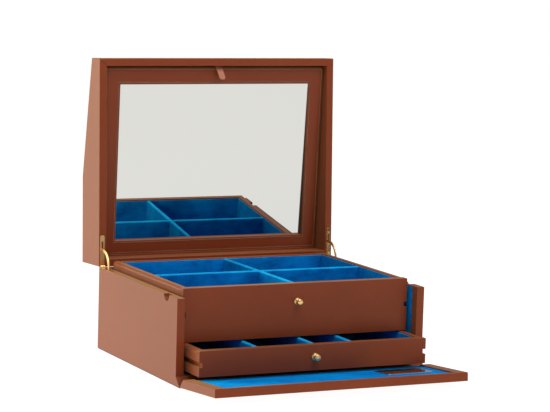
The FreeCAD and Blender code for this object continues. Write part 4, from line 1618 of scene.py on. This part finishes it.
@dataclass
class Drawer:
    """A leather drawer with a velvet tray, dividers and a turned knob."""

    box: BoxSizes
    maker: Maker
    name: str
    bottom: float
    top: float
    groove_z: float
    knob_z: float
    pulled: float = 0.0
    recess: float = 15.5
    side_gap: float = 3.25
    front_board: float = 9.0
    side_board: float = 8.0
    back_board: float = 6.0
    floor_board: float = 3.0
    floor_inset: float = 1.0
    back_gap: float = 0.7
    rim_round: float = 3.5
    front_round: float = 1.0
    inner_round: float = 1.5
    foot_round: float = 0.6
    end_round: float = 0.5
    lining: float = 1.2
    lining_rise: float = 0.35
    lining_edge: float = 0.5
    lining_nap: float = 0.4
    lining_dice: float = 6.0
    groove_height: float = 5.5
    groove_depth: float = 3.5
    groove_lip: float = 0.5
    groove_root: float = 0.3
    divider: float = 5.2
    divider_drop: float = 0.8
    divider_round: float = 2.2
    divider_nap: float = 0.3
    divider_dice: float = 5.0

    @property
    def front(self) -> float:
        """The drawer front's face when home."""
        return self.box.side_front + self.recess

    @property
    def back(self) -> float:
        """The drawer's back when home."""
        return self.box.back - self.box.board - self.box.velvet - self.back_gap

    @property
    def half(self) -> float:
        """Half the drawer's width."""
        return self.box.inner - self.box.velvet - self.side_gap

    @property
    def inner(self) -> float:
        """Middle to a side's inner face."""
        return self.half - self.side_board

    @property
    def seat(self) -> Matrix:
        """Home to where it is pulled out."""
        return Matrix.Translation((0.0, -self.pulled, 0.0))

    def grooved(self, x0: float, outer: float, inner: float) -> list[Point2]:
        """The (x, z) outline of a wall whose outer face has the runner groove.

        Args:
            x0: the wall's inner face.
            outer: rounding of its outer top edge.
            inner: rounding of its inner top edge.

        Returns:
            The outline's points.
        """
        low = self.groove_z - self.groove_height / 2
        high = self.groove_z + self.groove_height / 2
        deep = self.half - self.groove_depth
        return rounded_outline([
            (x0, self.bottom, 0.0), (self.half, self.bottom, self.foot_round),
            (self.half, low, self.groove_lip), (deep, low, self.groove_root),
            (deep, high, self.groove_root), (self.half, high, self.groove_lip),
            (self.half, self.top, outer), (x0, self.top, inner)], 6)

    def walls(self) -> None:
        """The leather-covered front, sides and back."""
        inside = self.front + self.front_board
        right = self.grooved(0.0, self.front_round, 0.0)[1:-1]
        left = [(-x, z) for x, z in reversed(right)]
        front = Form.prism(right + left, self.front, inside, "Y")

        def rim(middle: Vector, _: Vector) -> bool:
            """The top fold at the tray."""
            return abs(middle.y - inside) < TOUCHING and middle.z > self.top - TOUCHING

        front.softened(self.front_round, 4, at_y(self.front))
        front.softened(self.inner_round, 4, rim)
        side = Form.prism(self.grooved(self.inner, self.rim_round, self.inner_round),
                          inside, self.back, "Y")
        side.softened(self.end_round, 2, at_y(self.back))
        start = self.back - self.back_board
        rear = Form.prism(rounded_outline([
            (start, self.bottom, 0.0), (self.back, self.bottom, self.end_round),
            (self.back, self.top, self.inner_round), (start, self.top, self.inner_round)], 6),
            -self.inner, self.inner)
        for part, form in (("front", front), ("right_side", side),
                           ("left_side", side.mirrored()), ("back", rear)):
            self.maker.hard(f"{self.name}_leather_{part}", form, self.name, Finish.LEATHER,
                            [f"{self.name}_{part}"], self.seat)

    def velvet(self, name: str, form: Form, stands_for: Sequence[str], nap: float) -> None:
        """Place a velvet piece whose top edge gets a painted highlight.

        Args:
            name: the piece's name.
            form: its diced form.
            stands_for: the solids it replaces.
            nap: its deepest hollow.
        """
        piece = self.maker.soft(name, form, self.name, Finish.VELVET, stands_for, self.seat,
                                nap)
        self.maker.top_highlighted(piece)

    def tray(self) -> None:
        """The velvet tray inside the walls."""
        inside = self.front + self.front_board
        start = self.back - self.back_board
        floor = self.bottom + self.floor_inset + self.floor_board
        top = self.top - self.inner_round + self.lining_rise
        lining = self.lining
        outer = Form.block((-self.inner, self.inner), (inside, start), (floor, top))
        hollow = Form.block((-self.inner + lining, self.inner - lining),
                            (inside + lining, start - lining),
                            (floor + lining, top + 5 * PAST))

        def brim(middle: Vector, _: Vector) -> bool:
            """The folds round the tray's top."""
            return middle.z > top - TOUCHING

        outer.cut(hollow).softened(self.lining_edge, 2, brim).diced(self.lining_dice)
        self.velvet(self.name + "_velvet_tray", outer, [self.name + "_lining"],
                    self.lining_nap)

    def divider_form(self, along: str, place: float, start: float, end: float) -> Form:
        """A rounded divider.

        Args:
            along: the axis it runs along.
            place: its middle across that axis.
            start: its first end.
            end: its last end.

        Returns:
            The divider.
        """
        floor = self.bottom + self.floor_inset + self.floor_board + self.lining
        top = self.top - self.divider_drop
        half = self.divider / 2
        outline = rounded_outline([(place - half, floor, 0.0), (place + half, floor, 0.0),
                                   (place + half, top, self.divider_round),
                                   (place - half, top, self.divider_round)], 5)
        return Form.prism(outline, start, end, along)

    @property
    def bay(self) -> Point2:
        """The tray's clear run, front to back."""
        return (self.front + self.front_board + self.lining,
                self.back - self.back_board - self.lining)

    def knob(self) -> None:
        """The turned brass knob."""
        form = Form.lathe(KNOB_PROFILE, (0.0, self.front, self.knob_z), "Y", 48)
        self.maker.hard(self.name + "_brass_knob", form, self.name, Finish.BRASS,
                        [self.name + "_knob"], self.seat)

    def build(self) -> None:
        """Make and place the drawer without its dividers."""
        self.walls()
        self.tray()
        self.knob()
        self.maker.dressed(Finish.LEATHER, self.name + "_floor")
        self.maker.dressed(Finish.STEEL, self.name + "_knob_screw")


@dataclass
class UpperDrawer(Drawer):
    """The deep drawer, with a long and a cross divider."""

    long_x: float = 1.5

    def build(self) -> None:
        """Make and place the drawer and its crossing dividers."""
        super().build()
        start, end = self.bay
        reach = self.inner - self.lining
        long_one = self.divider_form("Y", self.long_x, start, end)
        cross_one = self.divider_form("X", (start + end) / 2, -reach, reach)
        self.velvet("upper_crossed_dividers", long_one.fused(cross_one).diced(self.divider_dice),
                    ["upper_long_divider", "upper_cross_divider"], self.divider_nap)


@dataclass
class LowerDrawer(Drawer):
    """The shallow drawer, with three dividers."""

    places: tuple[tuple[str, float], ...] = (("left", -64.0), ("middle", 4.0), ("right", 50.0))

    def build(self) -> None:
        """Make and place the drawer and its dividers."""
        super().build()
        start, end = self.bay
        for place, middle in self.places:
            form = self.divider_form("Y", middle, start, end).diced(self.divider_dice)
            self.velvet(f"lower_{place}_velvet_divider", form, ["lower_divider_" + place],
                        self.divider_nap)


# ---- lid -------------------------------------------------------------------------------------
@dataclass
class Lid:
    """The leather-covered lid with its lining and the supports of the mirror door."""

    box: BoxSizes
    maker: Maker
    hinges: Hinges
    front_height: float = 26.0
    rear_height: float = 55.0
    flat_depth: float = 101.0
    top_board: float = 6.0
    crease_width: float = 0.7
    crease_depth: float = 0.5
    crease_past: float = 0.6
    lining_edge: float = 0.3
    lining_dice: float = 8.0

    def outline(self, points: Sequence[Point2]) -> list[Point2]:
        """(distance from the back, height over the rim) as (y, z) of the closed lid."""
        return [(self.box.back - distance, self.box.rim + height) for distance, height in points]

    def slope(self, distance: float, under: float) -> float:
        """Height over the rim at a distance from the back, so far under the sloping top."""
        fall = (self.rear_height - self.front_height) / (self.box.depth - self.flat_depth)
        return self.rear_height - under - (distance - self.flat_depth) * fall

    def mitres(self) -> list[Form]:
        """Thin cuts for the mitred folds of the leather at the rim's corners.

        Returns:
            A cut for each corner.
        """
        box = self.box
        reach = box.board * math.sqrt(2.0)
        width = self.crease_width / 2
        blade = Form.prism([(-width, -PAST), (-width, 0.0), (0.0, self.crease_depth),
                            (width, 0.0), (width, -PAST)], -PAST, reach + self.crease_past)
        cuts = []
        for side in (1, -1):
            for end in (1, -1):
                turn = math.atan2(-end, -side)
                corner = Matrix.Translation((side * box.half, end * box.back, box.rim))
                cuts.append(blade.copied().moved(corner @ Matrix.Rotation(turn, 4, "Z")))
        return cuts

    def build(self) -> None:
        """Make the lid closed and lift it."""
        box = self.box
        far = box.depth - box.board
        high = self.rear_height - self.top_board
        shell = Form.prism(self.outline([
            (0.0, 0.0), (box.depth, 0.0), (box.depth, self.front_height),
            (self.flat_depth, self.rear_height), (0.0, self.rear_height)]), -box.half, box.half)
        hollow = Form.prism(self.outline([
            (box.board, -5 * PAST), (far, -5 * PAST), (far, self.slope(far, self.top_board)),
            (self.flat_depth, high), (box.board, high)]), -box.inner, box.inner)
        shell.cut(hollow)
        shell.softened(box.edge, 3)
        shell.cut(*self.mitres())
        for bed in self.hinges.beds():
            upper = self.hinges.raised(bed)
            shell.cut(upper, upper.mirrored())
        self.maker.hard("lid_shell", shell, "lid", Finish.LEATHER,
                        ["lid_left_side", "lid_right_side", "lid_front_rail", "lid_rear_rail",
                         "lid_top_board", "lid_slope_board"], box.lid_seat)
        deep = self.top_board + box.velvet
        sheet = Form.prism(self.outline([
            (far, self.slope(far, self.top_board)), (self.flat_depth, high), (box.board, high),
            (box.board, self.rear_height - deep), (self.flat_depth, self.rear_height - deep),
            (far, self.slope(far, deep))]), -box.inner, box.inner)
        sheet.softened(self.lining_edge, 2).diced(self.lining_dice)
        self.maker.soft("lid_inner_lining", sheet, "lid", Finish.RUNNER, ["lid_lining"],
                        box.lid_seat)
        self.maker.dressed(Finish.LEATHER, "door_ledges", "magnet_blocks", "door_seam")
        self.maker.dressed(Finish.STEEL, "door_magnets")


# ---- mirror door -----------------------------------------------------------------------------
@dataclass(frozen=True)
class PullTab:
    """The stitched leather tab, lying flat along the door, and its notch in the frame."""

    width: float = 7.6
    thickness: float = 1.3
    length: float = 19.0
    angle: float = 46.0
    middle: float = 2.0
    rise: float = 0.4
    depth: float = 0.2
    bow: float = 0.55
    tail_share: float = 0.42
    narrowing: float = 0.93
    thin_length: float = 1.0
    thin_share: float = 0.7
    corner_share: float = 0.7
    bead_share: float = 0.8
    bead_round: float = 0.2
    steps: int = 22
    stitch: StitchSize = StitchSize(1.35, 0.95, 0.16)
    seam_inset: float = 0.85
    seam_root: float = 1.5
    seam_tail: float = 2.9
    seam_turn: float = 1.9
    seam_rise: float = 0.03
    seam_steps: int = 12
    notch_height: float = 1.5
    notch_depth: float = 1.6
    notch_gap: float = 0.4

    def bowed(self, along: float) -> float:
        """Where the middle of its thickness is, at a distance from the root."""
        return -self.bow * math.sin(math.pi * along / self.length)

    def strip(self, root: float) -> Form:
        """The strip with its rounded end and the bead at its root.

        Args:
            root: Y of the root.

        Returns:
            The strip.
        """
        half = self.thickness / 2
        tail = self.width * self.tail_share
        rings = []
        for step in range(self.steps + 1):
            along = self.length * step / self.steps
            share = max(0.0, along - (self.length - tail)) / tail
            narrow = self.width / 2 * math.sqrt(1.0 - self.narrowing * share * share)
            thick = half * (1.0 if along < self.length - self.thin_length else self.thin_share)
            corner = thick * self.corner_share
            low, high = self.bowed(along) - thick, self.bowed(along) + thick
            outline = rounded_outline([(-narrow, low, corner), (narrow, low, corner),
                                       (narrow, high, corner), (-narrow, high, corner)], 3)
            rings.append([(x, root + along, self.depth + depth) for x, depth in outline])
        ends = half * self.bead_share
        bead = Form.lathe([(ends, 0.0), (half, self.bead_round),
                           (half, self.width - self.bead_round), (ends, self.width)],
                          (-self.width / 2, root, self.depth), "X", 20)
        return Form.rings(rings).fused(bead)

    def seam(self, root: float) -> list[Point3]:
        """The line of stitches, along one side, round the end and back.

        Args:
            root: Y of the root.

        Returns:
            The line's points.
        """
        reach = self.width / 2 - self.seam_inset
        steps = self.seam_steps
        run = self.length - self.seam_root - self.seam_tail
        side = [(-reach, self.seam_root + run * step / steps) for step in range(steps + 1)]
        path = side[:]
        for step in range(1, steps):
            turn = math.pi * step / steps
            path.append((-reach * math.cos(turn),
                         self.length - self.seam_tail + self.seam_turn * math.sin(turn)))
        path += [(-x, along) for x, along in reversed(side)]
        surface = self.depth - self.thickness / 2 + self.seam_rise
        return [(x, root + along, surface + self.bowed(along)) for x, along in path]


@dataclass
class MirrorDoor:
    """The mirror in its padded leather frame, and the pull tab."""

    box: BoxSizes
    maker: Maker
    side_gap: float = 1.0
    foot: float = 10.5
    foot_depth: float = 25.2
    head_gap: float = 1.7
    head_depth: float = 6.8
    thickness: float = 9.0
    seam: float = 0.8
    soft_gap: float = 0.3
    stile: float = 19.25
    foot_rail: float = 16.5
    head_rail: float = 19.8
    sink: float = 1.5
    glass_tilt: float = 1.3
    glass: float = 2.0
    glass_edge: float = 0.4
    glass_ease: float = 0.01
    lap: float = 5.0
    glass_gap: float = 0.3
    backing_edge: float = 0.4
    backing_dice: float = 8.0
    keeper: float = 4.0
    keeper_depth: float = 2.0
    keeper_from_side: float = 40.0
    keeper_from_head: float = 9.0
    tab: PullTab = PullTab()
    outer_fold: tuple[Point2, ...] = ((0.0, 1.1), (0.12, 0.62), (0.42, 0.28), (0.95, 0.10))
    inner_fold: tuple[Point2, ...] = ((0.85, 0.16), (0.45, 0.35), (0.15, 0.65), (0.0, 1.1))
    groove: tuple[Point2, ...] = ((-0.75, 0.05), (-0.5, 0.70), (0.5, 0.70), (0.75, 0.03))
    crown: float = 5.0
    stitch_line: float = 2.3
    stitch_depth: float = 0.26
    stitch: StitchSize = StitchSize()
    # dark dots between the stitches: painted shade where the thread passes through the leather
    hole_shade: StitchSize = StitchSize(2.8, 1.15, 0.42)
    shade_dot_depth: float = 0.42
    edge_reach: float = 0.05
    edge_facing: float = 0.98

    @property
    def half(self) -> float:
        """Half the door's width."""
        return self.box.inner - self.side_gap

    @property
    def run(self) -> float:
        """Foot to head, measured straight back."""
        return self.box.depth - self.box.board - self.head_gap - self.foot

    @property
    def length(self) -> float:
        """Foot to head along the door."""
        return math.hypot(self.foot_depth - self.head_depth, self.run)

    @property
    def seat(self) -> Matrix:
        """Flat door to its place in the open lid.

        Returns:
            The carrying matrix.
        """
        tilt = math.atan2(self.foot_depth - self.head_depth, self.run)
        shift = (0.0, self.box.back - self.foot, self.box.rim + self.foot_depth)
        return (self.box.lid_seat @ Matrix.Translation(shift)
                @ Matrix.Rotation(tilt, 4, "X"))

    def rectangle(self, inset: float, opening: bool, depth: float) -> list[Point3]:
        """A ring round the frame.

        Args:
            inset: distance in from the frame's outside, or out from its opening.
            opening: measure from the opening.
            depth: distance behind the frame's face.

        Returns:
            The ring's corners.
        """
        if opening:
            half = self.half - self.stile + inset
            low, high = self.head_rail - self.length - inset, -self.foot_rail + inset
        else:
            half = self.half - inset
            low, high = -self.length + inset, -inset
        return [(-half, low, depth), (half, low, depth), (half, high, depth),
                (-half, high, depth)]

    def tipped(self, inset: float, depth: float) -> list[Point3]:
        """A ring out from the opening that lies parallel to the glass.

        Args:
            inset: distance out from the opening.
            depth: distance behind the frame's face, at the opening's head.

        Returns:
            The ring's corners, deeper towards the foot.
        """
        slope = math.tan(math.radians(self.glass_tilt))
        head = self.head_rail - self.length
        return [(x, y, depth + slope * (y - head))
                for x, y, _ in self.rectangle(inset, True, 0.0)]

    def frame(self) -> Form:
        """The padded frame, crowned and grooved, with a rebate for the glass.

        Returns:
            The frame.
        """
        deep = self.thickness
        # (inset, depth) over the face, from the back's outer edge and then down the opening
        groove = [(self.stitch_line + off, depth) for off, depth in self.groove]
        groove.append((self.crown, 0.0))
        rings = [self.rectangle(inset, False, depth)
                 for inset, depth in [(0.0, deep), *self.outer_fold, *groove]]
        rings += [self.rectangle(inset, True, depth)
                  for inset, depth in [*reversed(groove), *self.inner_fold]]
        rings += [self.tipped(0.0, self.sink), self.tipped(self.lap, self.sink),
                  self.rectangle(self.lap, True, deep)]
        form = Form.rings(rings, True)
        tab = self.tab
        reach = tab.width / 2 + tab.notch_gap
        form.cut(Form.block((tab.middle - reach, tab.middle + reach),
                            (-self.length - PAST, -self.length + tab.notch_height),
                            (-PAST, tab.notch_depth)))
        form.cut(Form.rod(self.seam + self.soft_gap, (-self.half - PAST, 0.0, 0.0),
                          2 * self.half + 2 * PAST))
        hole = Form.rod(self.keeper, (self.half - self.keeper_from_side,
                                      self.keeper_from_head - self.length,
                                      deep - self.keeper_depth), 5 * PAST, "Z", 40)
        return form.cut(hole, hole.mirrored())

    def hang_tab(self) -> None:
        """Turn the pull tab off the frame's head and place it."""
        tab = self.tab
        root = -self.length - tab.rise
        lift = turn_about(root, tab.depth, -tab.angle)
        place = self.seat @ Matrix.Translation((tab.middle, 0.0, 0.0)) @ lift
        self.maker.hard("leather_pull_tab", tab.strip(root), "pull_tab", Finish.TAB,
                        ["pull_tab"], place)
        self.maker.stitched("pull_tab_stitches", [tab.seam(root)], "pull_tab", place,
                            tab.stitch, False)

    def stitch_frame(self) -> None:
        """Run the frame's two rows of stitches, with a dark dot between each two: painted shade
        where the thread passes through the leather.
        """
        rows = [self.rectangle(self.stitch_line, opening, self.stitch_depth)
                for opening in (False, True)]
        self.maker.stitched("mirror_frame_stitches", rows, "mirror_door", self.seat, self.stitch,
                            True)
        # painted shade: a row of near-black dots sunk between the stitches of each row
        shade_dot_rows = []
        for row in rows:
            x, y, _ = row[0]
            turned = [(x + self.stitch.pitch / 2, y, 0.0)] + row[1:] + row[:1]
            shade_dot_rows.append([(x, y, self.shade_dot_depth) for x, y, _ in turned])
        self.maker.stitched("mirror_frame_painted_hole_shade", shade_dot_rows, "mirror_door", self.seat,
                            self.hole_shade, True, Finish.SHADE_PAINT)

    def build(self) -> None:
        """Make and place the door and its tab."""
        frame_piece = self.maker.hard("mirror_leather_frame", self.frame(), "mirror_door",
                                      Finish.LEATHER, ["mirror_frame"], self.seat)
        opening = (self.half - self.stile) * MM

        def painted_shade(middle: Vector, normal: Vector) -> bool:
            """A face on the left or right reveal of the opening, which is given painted shade."""
            return (abs(abs(middle.x) - opening) < self.edge_reach * MM
                    and abs(normal.x) > self.edge_facing)

        # painted shade: the opening's left and right reveals get near-black leather instead of
        # the frame's leather
        self.maker.tinted(frame_piece, Finish.SHADE_PAINT, painted_shade)
        self.stitch_frame()
        inset = self.lap - self.glass_gap
        front = self.tipped(inset, self.sink + self.glass_ease)
        middle = self.tipped(inset, self.sink + self.glass)
        glass = Form.rings([front, middle]).softened(self.glass_edge, 2)
        self.maker.hard("mirror_pane", glass, "mirror_door", Finish.MIRROR, ["mirror_glass"],
                        self.seat)
        board = Form.rings([middle, self.rectangle(inset, True, self.thickness)])
        board.softened(self.backing_edge, 3).diced(self.backing_dice)
        self.maker.soft("mirror_velvet_back", board, "mirror_door", Finish.VELVET,
                        ["mirror_backing"], self.seat)
        self.maker.dressed(Finish.STEEL, "door_keepers")
        self.hang_tab()


# ---- studio ----------------------------------------------------------------------------------
@dataclass(frozen=True)
class Lamp:
    """A soft light that the camera doesn't see: metres and watts."""

    name: str
    place: Point3
    aim: Point3
    size: Point2
    power: float
    colour: Colour = WHITE

    def hang(self) -> None:
        """Put the light up, facing what it is aimed at."""
        data = bpy.data.lights.new(self.name, "AREA")
        data.shape = "RECTANGLE"
        data.size, data.size_y = self.size
        data.energy = self.power
        data.color = self.colour
        item = bpy.data.objects.new(self.name, data)
        item.location = self.place
        facing = Vector(self.aim) - Vector(self.place)
        item.rotation_euler = facing.to_track_quat("-Z", "Y").to_euler()
        item.visible_camera = False
        bpy.context.scene.collection.objects.link(item)


@dataclass
class Studio:
    """A white floor, soft light and the camera: metres and degrees."""

    floor_size: float = 60.0
    floor_colour: Colour = (0.20, 0.20, 0.20)
    floor_roughness: float = 0.9
    floor_glow: float = 0.96
    world_colour: Colour = (0.26, 0.26, 0.26)
    lens: float = 149.469
    sensor: float = 36.0
    sight: float = 200.0
    azimuth: float = -25.711
    elevation: float = 7.038
    roll: float = 1.655
    eye: Point3 = (-1.098245, -2.311425, 0.493071)
    lamps: tuple[Lamp, ...] = (
        Lamp("side", (-1.9, 1.5, 0.6), (0.0, 0.0, 0.15), (1.6, 1.0), 54.0, (1.0, 0.93, 0.66)),
        Lamp("top", (0.1, -0.9, 2.7), (0.0, 0.0, 0.1), (2.4, 2.4), 66.0),
        Lamp("fill", (1.6, -3.0, 2.0), (0.0, 0.0, 0.15), (2.2, 2.2), 8.0))

    def floor(self) -> None:
        """The floor, wide enough to fill the view."""
        half = self.floor_size / 2
        corners = [(-half, -half, 0.0), (half, -half, 0.0), (half, half, 0.0),
                   (-half, half, 0.0)]
        mesh = bpy.data.meshes.new("floor")
        mesh.from_pydata(corners, [], [range(len(corners))])
        item = bpy.data.objects.new("floor", mesh)
        bpy.context.scene.collection.objects.link(item)
        shader = Shader("studio_floor")
        shader.constants(Base_Color=(*self.floor_colour, 1.0), Roughness=self.floor_roughness,
                         Specular_IOR_Level=0.0, Emission_Color=(*WHITE, 1.0),
                         Emission_Strength=self.floor_glow)
        mesh.materials.append(shader.material)

    def sky(self) -> None:
        """The even light all round."""
        world = bpy.data.worlds.new("studio")
        world.use_nodes = True
        background = world.node_tree.nodes["Background"]
        background.inputs["Color"].default_value = (*self.world_colour, 1.0)
        background.inputs["Strength"].default_value = 1.0
        bpy.context.scene.world = world

    def camera(self) -> None:
        """The camera, a little rolled."""
        across = math.radians(self.azimuth)
        up = math.radians(self.elevation)
        back = Vector((math.sin(across) * math.cos(up), -math.cos(across) * math.cos(up),
                       math.sin(up)))
        right = Vector((0.0, 0.0, 1.0)).cross(back).normalized()
        above = back.cross(right)
        turn = math.radians(self.roll)
        side = math.cos(turn) * right + math.sin(turn) * above
        top = -math.sin(turn) * right + math.cos(turn) * above
        data = bpy.data.cameras.new("camera")
        data.lens = self.lens
        data.sensor_width = self.sensor
        data.clip_end = self.sight
        item = bpy.data.objects.new("camera", data)
        item.matrix_world = Matrix((
            (side.x, top.x, back.x, self.eye[0]), (side.y, top.y, back.y, self.eye[1]),
            (side.z, top.z, back.z, self.eye[2]), (0.0, 0.0, 0.0, 1.0)))
        bpy.context.scene.collection.objects.link(item)
        bpy.context.scene.camera = item

    def build(self) -> None:
        """Set the studio up."""
        self.floor()
        self.sky()
        self.camera()
        for lamp in self.lamps:
            lamp.hang()
        bpy.context.scene.view_settings.view_transform = "Standard"


def main() -> None:
    """Build the box, piece by piece, and its studio."""
    logging.basicConfig(level=logging.INFO, format="%(name)s: %(message)s")
    box = BoxSizes()
    maker = Maker()
    hinges = Hinges(box, maker)
    assemblies = [
        Case(box, maker, hinges), Flap(box, maker),
        UpperDrawer(box, maker, "upper_drawer", bottom=43.9, top=103.0, groove_z=73.6,
                    knob_z=83.0),
        LowerDrawer(box, maker, "lower_drawer", bottom=15.0, top=43.3, groove_z=28.3,
                    knob_z=30.0, pulled=47.0),
        Lid(box, maker, hinges), MirrorDoor(box, maker), hinges, Studio()]
    for assembly in assemblies:
        LOG.info("building: %s", type(assembly).__name__)
        assembly.build()


if __name__ == "__main__":
    main()
